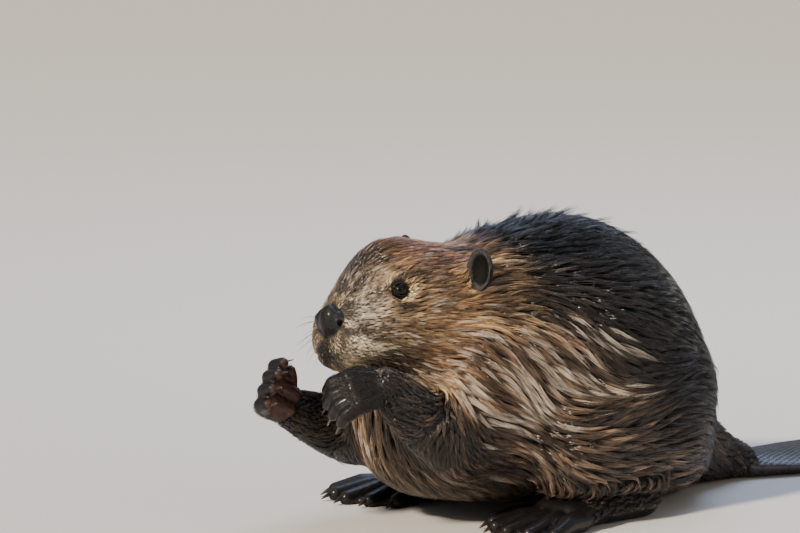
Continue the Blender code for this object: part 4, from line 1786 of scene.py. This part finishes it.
    def shape_muzzle(self, points: Rows) -> Rows:
        """Presses in nostrils, the lip's cleft and the mouth, and fills the lip pads.

        Args:
            points: Rows of positions.

        Returns:
            The moved positions.
        """
        moved = points.copy()
        for side in (-1, 1):
            at = STANCE.to_head(moved)
            out = unit(np.array((0.40, 0.91 * side, 0.06)))
            back = unit(np.array((-out[1] * side, out[0] * side, 0.0)))
            away = at - np.array((0.1225, 0.0172 * side, 0.1870))
            level = away @ back
            tall = away[:, 2] + 0.45 * level
            r = np.hypot(level / (3.4 * MM), tall / (2.3 * MM))
            near = (away @ out > -7 * MM) & (np.sign(at[:, 1]) == side)
            pit = -4.5 * MM * np.exp(-r ** 3) + 1.3 * MM * np.exp(-((r - 1.75) / 0.55) ** 2)
            out = out[0] * STANCE.forward + out[1] * STANCE.left + out[2] * UP
            moved += (pit * near)[:, None] * out
            pad = 1.8 * MM * bump_at(at, (0.108, 0.030 * side, 0.167), (0.014, 0.013, 0.011))
            moved += pad[:, None] * out
        at = STANCE.to_head(moved)
        folded = fold(at)
        path = np.array(((0.131, 0.0, 0.157), (0.125, 0.019, 0.1555), (0.109, 0.033, 0.152),
                         (0.088, 0.042, 0.150)))
        nearest = np.full(len(at), 1.0)
        for a, b in zip(path, path[1:]):
            t = np.clip(((folded - a) @ (b - a)) / ((b - a) @ (b - a)), 0, 1)
            nearest = np.minimum(nearest, np.linalg.norm(folded - a - t[:, None] * (b - a), axis=1))
        groove = 1.5 * MM * np.exp(-(nearest / (1.9 * MM)) ** 2)
        cleft = (1.6 * MM * np.exp(-(at[:, 1] / (1.3 * MM)) ** 2) * ease(0.158, 0.162, at[:, 2])
                 * ease(0.178, 0.172, at[:, 2]) * ease(0.10, 0.115, at[:, 0]))
        inward = -unit(moved - STANCE.on_head(0.085, 0.0, 0.180))
        return moved + inward * (groove + cleft)[:, None]

    def finish(self) -> None:
        """Stores the markings and gives each stretch of skin its material."""
        points, normals = points_of(self.obj), normals_of(self.obj)
        places = Places(points)
        paint(self.obj, "Markings", Markings().colour(places))
        pads = np.zeros(len(points))
        for paw in self.paws.values():
            near = np.linalg.norm(points - paw.at_wrist, axis=1) < 0.085
            pads = np.where(near, ease(0.25, 0.75, normals @ paw.inner), pads)
        soles = (self.hide == Hide.PAW.value) & (points[:, 2] < 0.03)
        pads = np.where(soles, 0.0, pads)
        store(self.obj, "Pads", pads)
        rim = np.zeros(len(points))
        # the ears' inner rim is greyed, partly as a painted highlight
        for ear in self.ears.values():
            local = ear.local(points) / np.array(ear.half)
            out = np.hypot(local[:, 1], local[:, 2])
            facing = ease(0.0, 0.5, normals @ np.array(ear.axes())[:, 0])
            rim = np.maximum(rim, facing * ease(0.66, 0.80, out) * ease(0.98, 0.88, out))
        f, l, _ = places.head_at.T
        side = ease(0.0105, 0.0160, np.abs(l)) * (self.hide == Hide.NOSE.value) * (f > 0.105)
        store(self.obj, "Rim", np.maximum(rim, side))
        present(self.obj, [Underfur(), NoseLeather(), PawSkin(), TailGroove(), EarSkin()],
                self.core + self.bare)
        mesh = self.obj.data
        slots = [int(np.bincount(self.hide[list(face.vertices)]).argmax()) for face in mesh.polygons]
        mesh.polygons.foreach_set("material_index", slots)
        mesh.shade_smooth()
        LOG.info("skin: %d faces, %d triangles", len(mesh.polygons), count_triangles(self.obj))


# ------------ the coat
class Area(Enum):
    """The separate pieces of the coat."""

    FACE_LEFT = "coat_face_left"
    FACE_RIGHT = "coat_face_right"
    CROWN_LEFT = "coat_crown_left"
    CROWN_RIGHT = "coat_crown_right"
    SHOULDER_LEFT = "coat_shoulder_left"
    SHOULDER_RIGHT = "coat_shoulder_right"
    FLANK_LEFT = "coat_flank_left"
    FLANK_RIGHT = "coat_flank_right"
    RUMP_LEFT = "coat_rump_left"
    RUMP_RIGHT = "coat_rump_right"
    BELLY = "coat_belly"
    FORELEGS = "coat_forelegs"
    TAIL_ROOT = "coat_tail_root"
    FEET = "coat_feet"


@dataclass(frozen=True)
class LockShape:
    """How one lock is made up."""

    strands: int
    rings: int
    gather: float = 0.86  # how far the strands come together at the tip
    spread: float = 0.62  # half the lock's width at the root, as a share of the spacing
    loft: float = 0.42  # height of a strand's ridge, as a share of its width
    dome: float = 0.40  # how far the lock's middle stands above its edges, as a share of half its width
    # shade: the root is painted darker than the tip, as painted shade down between the locks
    shade: float = 0.20  # how light the root is, where the tip is 1.25


HEAD_LOCK = LockShape(8, 3, 0.84, 0.76, shade=0.20)
BODY_LOCK = LockShape(12, 3, 0.92, shade=0.12)
VELVET = LockShape(2, 2, 0.3, 0.8, 0.42, 0.0, 0.5)


@dataclass
class Locks:
    """Guide lines for many locks, with what each needs to be built."""

    line: Rows  # locks x steps x 3
    up: Rows  # locks x steps x 3
    depth: Rows
    width: Rows
    spacing: Rows
    colour: Rows
    wild: Rows
    tone: Rows
    # how far each lock's tip is laid towards near-white: pale locks, partly painted highlights
    pale: Rows
    unwrap: Rows

    def pick(self, chosen: Rows) -> "Locks":
        """Just the chosen locks."""
        return Locks(*(getattr(self, name)[chosen] for name in self.__dataclass_fields__))

    def build(self, name: str, shape: LockShape, dice: Dice) -> Object:
        """Builds every strand of every lock as a closed tapered blade.

        Args:
            name: The piece's name.
            shape: How each lock is made up.
            dice: Source of the variation.

        Returns:
            The joined mesh with its colours and its own UV map.
        """
        count, per, rings, steps = len(self.line), shape.strands, shape.rings, self.line.shape[1] - 1
        total = count * per
        owner = np.repeat(np.arange(count), per)
        place = (np.tile(np.arange(per), count) + 0.5) / per * 2 - 1
        place = place + dice.uniform(-0.5, 0.5, total) / per
        order = dice.uniform(-1, 1, total)
        reach = dice.uniform(0.74, 1.0, total)
        height = dice.uniform(0.55, 1.05, total)
        phase = np.repeat(dice.uniform(0, 6.28, count), per) + dice.uniform(-0.5, 0.5, total)
        sway = np.repeat(dice.uniform(0.2, 1.0, count), per) * self.spacing[owner] * 0.16
        half = self.spacing[owner] * shape.spread
        wide = self.width[owner] * dice.uniform(0.75, 1.25, total)
        tone = self.tone[owner] * np.exp(dice.normal(0, 0.28, total))
        corners, colours, unwraps = [], [], []
        for ring in range(rings + 1):
            t = ring / rings
            where = t * reach
            middle, before, after = (read_along(self.line, owner, np.clip(place_on, 0, 1) * steps)
                                     for place_on in (where, where - 0.12, where + 0.12))
            up = unit(read_along(self.up, owner, np.clip(where, 0, 1) * steps))
            ahead = unit(flatten(after - before, up))
            aside = np.cross(up, ahead)
            offset = place * half * (1 - shape.gather * t ** 1.1)
            offset = offset + sway * np.sin(phase + 5.5 * t) * t
            lift = self.depth[owner] * (0.12 + 0.88 * t ** 0.75) * height
            lift = lift + self.wild[owner] * t ** 1.5 * (0.5 + 0.5 * height)
            lift = lift + half * shape.dome * (1 - place ** 2) * (1 - t ** 2)
            if ring == 0:
                lift = np.full(total, -0.4 * MM)
            middle = middle + aside * offset[:, None] + up * lift[:, None]
            middle = middle + ahead * (order * half * 0.8 * (1 - t))[:, None]
            size = wide * (1 - 0.88 * t ** 1.6)
            if ring < rings:
                corners += [middle + aside * (size / 2)[:, None],
                            middle + up * (size * shape.loft)[:, None],
                            middle - aside * (size / 2)[:, None]]
            else:
                corners.append(middle)
            # painted shade: each strand darkens from tip to root, for the shade down between the locks
            shade = (shape.shade + (1.25 - shape.shade) * t ** 0.7) * tone
            # the pale share lays a near-white painted highlight towards each strand's tip
            colour = layer(self.colour[owner] * shade[:, None],
                           (self.pale[owner] * t ** 0.8, linear("#f8ecdb")))
            column = self.unwrap[owner, 0] + PATCH_HALF * place
            row = self.unwrap[owner, 1] + PATCH_HALF * (2 * t - 1)
            repeat = 3 if ring < rings else 1
            colours += [colour] * repeat
            unwraps += [np.stack([column, row], axis=1)] * repeat
        size = rings * 3 + 1
        points = np.stack(corners, axis=1).reshape(-1, 3)
        points[:, 2] = np.maximum(points[:, 2], HAIR_FLOOR)
        obj = array_mesh(name, points, *self.facets(total, rings, size))
        paint(obj, "Markings", np.stack(colours, axis=1).reshape(-1, 3).clip(0, 1))
        add_unwrap(obj, np.stack(unwraps, axis=1).reshape(-1, 2))
        return obj

    def facets(self, total: int, rings: int, size: int) -> tuple[Rows, Rows]:
        """The quads and triangles of so many strands.

        Args:
            total: The number of strands.
            rings: The number of rings on each.
            size: The number of vertices on each.

        Returns:
            Rows of vertex numbers.
        """
        quads, triangles = [], [(2, 1, 0)]
        for k in range(3):
            turn = (k + 1) % 3
            for ring in range(rings - 1):
                low = ring * 3
                quads.append((low + k, low + turn, low + 3 + turn, low + 3 + k))
            last = (rings - 1) * 3
            triangles.append((last + k, last + turn, rings * 3))
        start = (np.arange(total) * size)[:, None, None]
        return ((start + np.array(quads)).reshape(-1, 4), (start + np.array(triangles)).reshape(-1, 3))


@dataclass
class Coat:
    """The whole wet coat, rooted on the skin."""

    skin: Skin
    seed: int = 41
    steps: int = 6
    most: int = 198000
    lid_gap: float = 6.4 * MM
    tree: BVHTree | None = None

    def build(self) -> list[Object]:
        """Roots, combs and builds every piece.

        Returns:
            The coat's pieces.
        """
        dice = np.random.default_rng(self.seed)
        corners = corners_of(self.skin.obj)
        points, normals = points_of(self.skin.obj), normals_of(self.skin.obj)
        hide = self.skin.hide[corners]
        furred = corners[np.all(hide == Hide.FUR.value, axis=1)]
        self.tree = BVHTree.FromPolygons(points.tolist(), furred.tolist())
        roots, ups = self.scatter(points, normals, furred, CoatMap().spacing, dice)
        places = Places(roots)
        clear = places.eye > self.lid_gap
        roots, ups = roots[clear], ups[clear]
        locks, area = self.comb(roots, ups, dice)
        pieces = []
        for number, kind in enumerate(Area):
            chosen = np.flatnonzero(area == number)
            fine = kind.name.startswith(("FACE", "CROWN", "FEET", "FORELEGS"))
            pieces.append(self.finish(locks.pick(chosen), kind.value,
                                      HEAD_LOCK if fine else BODY_LOCK, dice))
        for kind, cover in ((Hide.EAR, self.velvet), (Hide.PAW, self.paw_nap)):
            pieces.append(cover(points, normals, corners[np.all(hide == kind.value, axis=1)], dice))
        return pieces

    def scatter(self, points: Rows, normals: Rows, corners: Rows,
                spacing: Callable, dice: Dice) -> tuple[Rows, Rows]:
        """Places roots no closer than the local spacing.

        Args:
            points: The skin's vertices.
            normals: Their normals.
            corners: The triangles that carry hair.
            spacing: Gives the spacing at measured places.
            dice: Source of the variation.

        Returns:
            Root positions and normals.
        """
        a, b, c = (points[corners[:, k]] for k in range(3))
        area = np.linalg.norm(np.cross(b - a, c - a), axis=1) / 2
        apart = spacing(Places((a + b + c) / 3))
        share = area / apart ** 2
        count = int(share.sum() * 4.5)
        face = dice.choice(len(corners), count, p=share / share.sum())
        u, v = dice.uniform(0, 1, (2, count))
        u, v = np.where(u + v > 1, 1 - u, u), np.where(u + v > 1, 1 - v, v)
        mix = np.stack([1 - u - v, u, v], axis=1)[:, :, None]
        roots = (points[corners[face]] * mix).sum(axis=1)
        ups = unit((normals[corners[face]] * mix).sum(axis=1))
        tree = KDTree(count)
        for k, root in enumerate(roots):
            tree.insert(root, k)
        tree.balance()
        alive = np.ones(count, bool)
        for k, root in enumerate(roots):
            if alive[k]:
                for _, other, _ in tree.find_range(root, apart[face[k]]):
                    if other > k:
                        alive[other] = False
        return roots[alive], ups[alive]

    def comb(self, roots: Rows, ups: Rows, dice: Dice) -> tuple[Locks, Rows]:
        """Draws each lock's guide along the skin.

        Args:
            roots: Where the locks start.
            ups: The skin's normals there.
            dice: Source of the variation.

        Returns:
            The locks, and the number of the area each belongs to.
        """
        places, lie, maps = Places(roots), Lie(), CoatMap()
        length = maps.length(places) * dice.uniform(0.80, 1.15, len(roots))
        way = lie.direction(places, ups)
        turn = dice.normal(0, 0.15, len(roots))[:, None]
        way = unit(way * np.cos(turn) + np.cross(ups, way) * np.sin(turn))
        streak = sum(grain(roots + way * (length * share)[:, None], 6.5 * MM, 21)
                     for share in np.linspace(-0.7, 0.7, 7)) / 1.6
        body = 1 - places.head * ease(0.0, 0.09, places.head_at[:, 0])
        tone = np.exp((0.52 + 0.26 * body) * streak + dice.normal(0, 0.28, len(roots)) * (1 + 0.5 * body))
        # pale locks, partly painted highlights of the wet coat, gather along the streaks
        share = np.clip(Markings().frost(places) * (1 + (0.7 + 0.8 * body) * streak), 0, 1)
        share = share * ease(0.010, 0.022, places.eye)
        pale = np.where(dice.uniform(0, 1, len(roots)) < share,
                        dice.uniform(0.35, 0.85 + 0.15 * body, len(roots)), 0.0)
        line, up = [roots], [ups]
        for _ in range(self.steps):
            ahead, above = self.settle_on(line[-1] + way * (length / self.steps)[:, None], up[-1])
            line.append(ahead)
            up.append(above)
            way = unit(unit(flatten(way, above)) * 0.6 + lie.direction(Places(ahead), above) * 0.4)
        line, up = np.stack(line, axis=1), np.stack(up, axis=1)
        line, up = self.stop_at_ears(line, up)
        locks = Locks(line, up, maps.depth(places), maps.width(places), maps.spacing(places),
                      Markings().colour(places), self.wildness(places, dice), tone, pale,
                      self.unwrap(places))
        return locks, self.area(places)

    def settle_on(self, points: Rows, before: Rows) -> tuple[Rows, Rows]:
        """Brings points down to the furred skin.

        Args:
            points: Rows of positions.
            before: The directions away from the skin, kept where none is found.

        Returns:
            The points on the skin and the directions away from it.
        """
        found, ups = points.copy(), before.copy()
        for k, point in enumerate(points):
            spot, normal, _, _ = self.tree.find_nearest(point)
            if spot is not None:
                found[k], ups[k] = spot, normal
        return found, unit(ups + before * 0.5)

    def stop_at_ears(self, line: Rows, up: Rows) -> tuple[Rows, Rows]:
        """Ends each guide where it would run into an ear.

        Args:
            line: The guides' points.
            up: The directions away from the skin there.

        Returns:
            The shortened guides and their directions.
        """
        steps = line.shape[1]
        end = np.full(len(line), float(steps - 1))
        flat = line.reshape(-1, 3) + up.reshape(-1, 3) * 2 * MM
        for ear in self.skin.ears.values():
            local = ear.local(flat)
            inside = (np.linalg.norm(local / (np.array(ear.half) * 1.1), axis=1) < 1) & (local[:, 0] < 0)
            inside = inside.reshape(-1, steps)
            first = np.where(inside.any(axis=1), inside.argmax(axis=1), steps - 1)
            end = np.minimum(end, np.maximum(first, 1.0))
        at = np.linspace(0, 1, steps)[None, :] * end[:, None]
        row = np.arange(len(line))[:, None]
        return read_along(line, row, at), read_along(up, row, at)

    def wildness(self, places: Places, dice: Dice) -> Rows:
        """How far each lock's tip stands off beyond the coat, in metres.

        Args:
            places: The points, measured from the body.
            dice: The source of chance.

        Returns:
            One value for each root.
        """
        x, _, z = places.trunk_at.T
        nape = (ease(-0.112, -0.085, x) * ease(0.075, 0.035, x) * ease(0.19, 0.22, z)
                * (1 - 0.6 * places.head))
        share = 0.05 + 0.36 * nape + 0.42 * places.head * ease(0.232, 0.248, z)
        tall = dice.uniform(0.15, 1.0, len(x)) * (3.0 + 8.5 * nape) * (1 - 0.45 * places.head)
        tall = np.where(dice.uniform(0, 1, len(x)) < share, tall, 0.0)
        fringe = bump_at(places.folded_head, (0.014, 0.048, 0.226), (0.013, 0.015, 0.022))
        return (tall + fringe * dice.uniform(6.0, 14.0, len(x))) * MM

    def unwrap(self, places: Places) -> Rows:
        """Each root's place on a round unwrap of head or body.

        Args:
            places: The points, measured from the body.

        Returns:
            One place for each root.
        """
        head = places.head > 0.5
        from_head = places.head_at - np.array((0.030, 0.0, 0.185))
        from_trunk = places.trunk_at - np.array((0.020, 0.0, 0.110))
        away = unit(np.where(head[:, None], from_head, from_trunk))
        around = np.arctan2(away[:, 1], away[:, 2]) / (2 * math.pi) + 0.5
        down = np.arccos(np.clip(away[:, 0], -1, 1)) / math.pi
        return np.stack([0.01 + 0.98 * around, 0.01 + 0.98 * down], axis=1)

    def area(self, places: Places) -> Rows:
        """The number of the piece that each root belongs to.

        Args:
            places: The points, measured from the body.

        Returns:
            One number for each root.
        """
        at = {kind: number for number, kind in enumerate(Area)}
        x, y, z = places.trunk_at.T
        f, l, _ = places.head_at.T
        number = np.where(x < 0.055, at[Area.FLANK_LEFT], at[Area.RUMP_LEFT])
        number = np.where(x < -0.045, at[Area.SHOULDER_LEFT], number) + (y > 0)
        for chosen, kind in (((z < 0.050) & (np.abs(y) < 0.135), Area.BELLY), (places.foot > 0.4, Area.FEET),
                             (places.arm > 0.5, Area.FORELEGS), (places.tail > 0.3, Area.TAIL_ROOT)):
            number = np.where(chosen, at[kind], number)
        head = np.where(f > 0.045, at[Area.FACE_LEFT], at[Area.CROWN_LEFT]) + (l < 0)
        return np.where(places.head > 0.5, head, number)

    def velvet(self, points: Rows, normals: Rows, corners: Rows, dice: Dice) -> Object:
        """Covers the ears with short dark velvet, greyer just inside the rim, partly as a painted highlight.

        Args:
            points: Rows of positions.
            normals: The surface normals there.
            corners: The skin's triangles.
            dice: The source of chance.

        Returns:
            The piece.
        """
        roots, ups = self.scatter(points, normals, corners,
                                  lambda places: np.full(len(places.points), 0.95 * MM), dice)
        colour = np.tile(linear("#120f0e"), (len(roots), 1))
        way = np.tile(UP, (len(roots), 1))
        for ear in self.skin.ears.values():
            local = ear.local(roots) / np.array(ear.half)
            near = np.linalg.norm(local, axis=1) < 1.6
            axes = np.array(ear.axes())
            fan = axes[:, 2] + (local[:, 1:2] * axes[:, 1] + local[:, 2:] * axes[:, 2]) * 0.9
            way[near] = fan[near]
            out = np.hypot(local[:, 1], local[:, 2])
            # grey ring inside the rim: partly the hair's own grey, partly a painted highlight
            grey = ease(0.1, 0.6, ups @ axes[:, 0]) * ease(0.64, 0.78, out) * ease(0.98, 0.88, out)
            colour[near] = layer(colour, (grey, linear("#7a7470")))[near]
        return self.nap("coat_ears", roots, ups, way, colour, 2.6 * MM, 0.22 * MM, dice)

    def paw_nap(self, points: Rows, normals: Rows, corners: Rows, dice: Dice) -> Object:
        """Lays short sparse hair over the backs of the forepaws.

        Args:
            points: Rows of positions.
            normals: The surface normals there.
            corners: The skin's triangles.
            dice: The source of chance.

        Returns:
            The piece.
        """
        middle = points[corners].mean(axis=1)
        facing = normals[corners].mean(axis=1)
        chosen = np.zeros(len(corners), bool)
        for paw in self.skin.paws.values():
            away = middle - paw.at_wrist
            chosen |= ((np.linalg.norm(away, axis=1) < 0.047) & (facing @ paw.inner < 0.05)
                       & (away @ unit(np.array(paw.way)) < 0.040))
        roots, ups = self.scatter(points, normals, corners[chosen],
                                  lambda places: np.full(len(places.points), 1.45 * MM), dice)
        way = np.zeros((len(roots), 3))
        for paw in self.skin.paws.values():
            near = np.linalg.norm(roots - paw.at_wrist, axis=1) < 0.055
            way[near] = unit(np.array(paw.way)) + paw.inner * 0.15
        colour = np.tile(linear("#1f1613"), (len(roots), 1))
        return self.nap("coat_paws", roots, ups, way, colour, 6.5 * MM, 0.32 * MM, dice)

    def nap(self, name: str, roots: Rows, ups: Rows, way: Rows, colour: Rows,
            length: float, width: float, dice: Dice) -> Object:
        """Builds short straight hair that lies the given way.

        Args:
            name: The name that it gets.
            roots: Where the hair stands.
            ups: The directions away from the skin there.
            way: The direction of the hair.
            colour: The hair's colours.
            length: Length in metres.
            width: Width in metres.
            dice: The source of chance.

        Returns:
            The piece.
        """
        size = len(roots)
        way = unit(flatten(way, ups))
        reach = dice.uniform(0.6, 1.2, size)[:, None] * length
        line = np.stack([roots, roots + way * reach / 2, roots + way * reach], axis=1)
        up = np.stack([ups] * 3, axis=1)
        depth, wide, apart = (np.full(size, value) for value in (length * 0.20, width, length * 0.4))
        locks = Locks(line, up, depth, wide, apart, colour, np.zeros(size),
                      np.exp(dice.normal(0, 0.3, size)), np.zeros(size), self.unwrap(Places(roots)))
        return self.finish(locks, name, VELVET, dice)

    def finish(self, locks: Locks, name: str, shape: LockShape, dice: Dice) -> Object:
        """Builds, dresses and reports one piece.

        Args:
            locks: The locks.
            name: The name that it gets.
            shape: The build of a lock.
            dice: The source of chance.

        Returns:
            The piece.
        """
        obj = locks.build(name, shape, dice)
        present(obj, [GuardHair(f"wet_guard_hair_{name[5:]}")])
        count = count_triangles(obj)
        if count > self.most:
            raise ValueError(f"{name} has {count} triangles")
        LOG.info("%s: %d locks, %d triangles", name, len(locks.line), count)
        return obj


# ------------ eyes, claws and whiskers
@dataclass
class Eyes:
    """Two small dark eyes with clear bulging corneas."""

    radius: float = EYE_RADIUS
    cornea: float = 0.45 * MM

    def build(self) -> list[Object]:
        """Builds the eyes."""
        return [self.build_one(hand) for hand in SIDES]

    def build_one(self, hand: str) -> Object:
        """Shapes one eyeball and stores how far each point is from the gaze.

        Args:
            hand: Left or right.

        Returns:
            The eyeball.
        """
        side = -SIDES[hand]
        obj = sphere(f"eyeball_{hand}", np.zeros(3), (1, 1, 1), segments=64, rings=48)
        ball = points_of(obj)
        gaze = unit(STANCE.left * 0.90 * side + STANCE.forward * 0.42 + UP * 0.10)
        off = np.arccos(np.clip(ball @ gaze, -1, 1))
        bulge = self.cornea * ease(0.62, 0.30, off)
        set_points(obj, eye_middle(side) + ball * (self.radius + bulge)[:, None])
        store(obj, "Gaze", off)
        obj.data.shade_smooth()
        present(obj, [EyeGlass()], (f"eye_{hand}",))
        return obj


@dataclass
class Claws:
    """Every claw, joined foot by foot."""

    skin: Skin

    def build(self) -> list[Object]:
        """Builds the claws of each foot as one piece."""
        return [self.build_foot(f"{where}_{hand}", feet[hand].digits) for hand in SIDES
                for where, feet in (("fore", self.skin.paws), ("hind", self.skin.feet))]

    def build_foot(self, foot: str, digits: list[Digit]) -> Object:
        """Joins one foot's claws and dresses them.

        Args:
            foot: The foot's name.
            digits: Its digits.

        Returns:
            The piece.
        """
        points, quads, triangles, place = [], [], [], []
        start = 0
        for digit in digits:
            corners, four, three, along = digit.claw()
            points.append(corners)
            quads.append(four + start)
            triangles.append(three + start)
            place.append(along)
            start += len(corners)
        joined = np.concatenate(points)
        joined[:, 2] = np.maximum(joined[:, 2], HORN_FLOOR)
        obj = array_mesh(f"claws_{foot}", joined, np.concatenate(quads), np.concatenate(triangles))
        store(obj, "Along", np.concatenate(place))
        present(obj, [ClawHorn()], tuple(f"claw_{foot}_{k}" for k in range(1, 6)))
        return obj


@dataclass
class Whiskers:
    """Stiff bristles from the lip pads."""

    per_side: int = 18
    around: int = 4
    rings: int = 8
    seed: int = 7

    def build(self) -> Object:
        """Builds every whisker as a closed tapered rod.

        Returns:
            The joined whiskers.
        """
        dice = np.random.default_rng(self.seed)
        points, quads, triangles = [], [], []
        for side in (-1, 1):
            for k in range(self.per_side):
                row, column = divmod(k, 6)
                root = STANCE.on_head(0.113 - 0.0042 * column + dice.uniform(-1, 1) * MM,
                                      side * (0.0235 + 0.0022 * column),
                                      0.184 - 0.0065 * row + dice.uniform(-1, 1) * MM)
                way = STANCE.head_ways(*(np.array([value]) for value in (
                    0.55 - 0.13 * column + dice.uniform(-0.12, 0.12),
                    side * (0.75 + dice.uniform(-0.1, 0.1)),
                    0.06 - 0.20 * row + dice.uniform(-0.12, 0.12))))[0]
                length = (0.031 + 0.0045 * column) * dice.uniform(0.8, 1.15)
                self.add(points, quads, triangles, root, unit(way), length)
        obj = array_mesh("whiskers", np.concatenate(points), np.concatenate(quads),
                         np.concatenate(triangles))
        present(obj, [WhiskerHair()])
        return obj

    def add(self, points: list, quads: list, triangles: list, root: Rows, way: Rows, length: float) -> None:
        """Adds one whisker that droops and bends back towards its tip.

        Args:
            points: The points, added to.
            quads: The faces of four corners, added to.
            triangles: The end faces, added to.
            root: Where it leaves the skin.
            way: The direction in which it starts.
            length: Length in metres.
        """
        start = sum(len(part) for part in points)
        bend = -UP * 0.30 - STANCE.forward * 0.22
        aside = unit(np.cross(way, UP))
        above = np.cross(aside, way)
        angles = np.arange(self.around) * 2 * math.pi / self.around
        rows = []
        for ring in range(self.rings):
            t = ring / self.rings
            middle = root - way * 2 * MM + way * (length + 2 * MM) * t + bend * length * t * t
            radius = 0.32 * MM * (1 - 0.8 * t)
            rows.append(middle + aside * (np.cos(angles) * radius)[:, None]
                        + above * (np.sin(angles) * radius)[:, None])
        rows.append((root + (way + bend) * length)[None, :])
        points.append(np.concatenate(rows))
        ring, turn = np.arange(self.around), (np.arange(self.around) + 1) % self.around
        low = np.arange(self.rings - 1)[:, None] * self.around
        quads.append(start + np.stack([low + turn, low + ring, low + self.around + ring,
                                       low + self.around + turn], -1).reshape(-1, 4))
        last = (self.rings - 1) * self.around
        triangles.append(start + np.stack([last + turn, last + ring,
                                           np.full(self.around, self.rings * self.around)], -1))
        triangles.append(start + np.array([(0, 1, 2), (0, 2, 3)]))


# ------------ the studio
@dataclass(frozen=True)
class Studio:
    """A pale floor, soft lights and the camera."""

    azimuth: float = -40.0
    elevation: float = 8.0
    distance: float = 6.0
    lens: float = 300.0
    across: float = -0.1152  # from the trunk's origin to the middle of the view, along the view's right
    above: float = 0.2151  # and along its up

    def build(self) -> None:
        """Sets up floor, lights, world and camera."""
        self.add_floor()
        turn, tilt = math.radians(self.azimuth), math.radians(self.elevation)
        right = np.array((math.cos(turn), math.sin(turn), 0.0))
        back = np.array((math.sin(turn) * math.cos(tilt), -math.cos(turn) * math.cos(tilt), math.sin(tilt)))
        up = np.cross(back, right)
        target = STANCE.shift + right * self.across + up * self.above
        self.add_camera(target, back)
        for name, kind, away, colour, values in (
                ("key", "SUN", back * 1.7 - right * 1.5 + UP * 1.35, "#fff0dc",
                 {"energy": 5.6, "angle": math.radians(7)}),
                ("sky", "AREA", right * 0.6 - back * 1.2 + UP * 2.2, "#c4d8ff", {"energy": 46, "size": 1.8}),
                ("fill", "AREA", back * 2.0 + right * 2.2 + UP * 0.7, "#ffe7d0",
                 {"energy": 12, "size": 1.6})):
            lamp = bpy.data.lights.new(name, kind)
            lamp.color = rgba(colour)[:3]
            for key, value in values.items():
                setattr(lamp, key, value)
            self.hang(name, lamp, target + away, -away)
        world = bpy.data.worlds.new("studio_air")
        world.use_nodes = True
        air = world.node_tree.nodes["Background"].inputs
        air["Color"].default_value, air["Strength"].default_value = rgba("#dfe3e8"), 0.38
        bpy.context.scene.world = world
        LOG.info("studio: floor, three lights and a camera")

    def add_floor(self) -> None:
        """Lays the floor."""
        bpy.ops.mesh.primitive_plane_add(size=60.0)
        floor = settle(bpy.context.active_object)
        floor.name = "floor"
        dress(floor, FloorPaper())

    def add_camera(self, target: Rows, back: Rows) -> None:
        """Aims the camera.

        Args:
            target: What the camera looks at.
            back: The direction towards the camera.
        """
        lens = bpy.data.cameras.new("camera")
        lens.lens, lens.sensor_width, lens.clip_end = self.lens, 36.0, 100.0
        bpy.context.scene.camera = self.hang("camera", lens, target + back * self.distance, -back)

    def hang(self, name: str, data: ID, place: Rows, way: Rows) -> Object:
        """Hangs a light or camera and turns it.

        Args:
            name: The object's name.
            data: The light or camera.
            place: Where it hangs.
            way: The direction in which it looks.

        Returns:
            The new object.
        """
        obj = bpy.data.objects.new(name, data)
        obj.location = Vector(place)
        obj.rotation_euler = Vector(way).to_track_quat("-Z", "Y").to_euler()
        bpy.context.scene.collection.objects.link(obj)
        return obj


def main() -> None:
    """Builds the animal and its studio."""
    skin = Skin()
    skin.build()
    coat = Coat(skin).build()
    LOG.info("coat: %d pieces", len(coat))
    plates = skin.tail.plates(surface_tree(skin.obj))
    present(plates, [TailPlate()])
    LOG.info("tail plates: %d faces", len(plates.data.polygons))
    eyes = Eyes().build()
    claws = Claws(skin).build()
    whiskers = Whiskers().build()
    LOG.info("eyes: %d, claw pieces: %d, whiskers: %d faces", len(eyes), len(claws),
             len(whiskers.data.polygons))
    Studio().build()


if __name__ == "__main__":
    main()
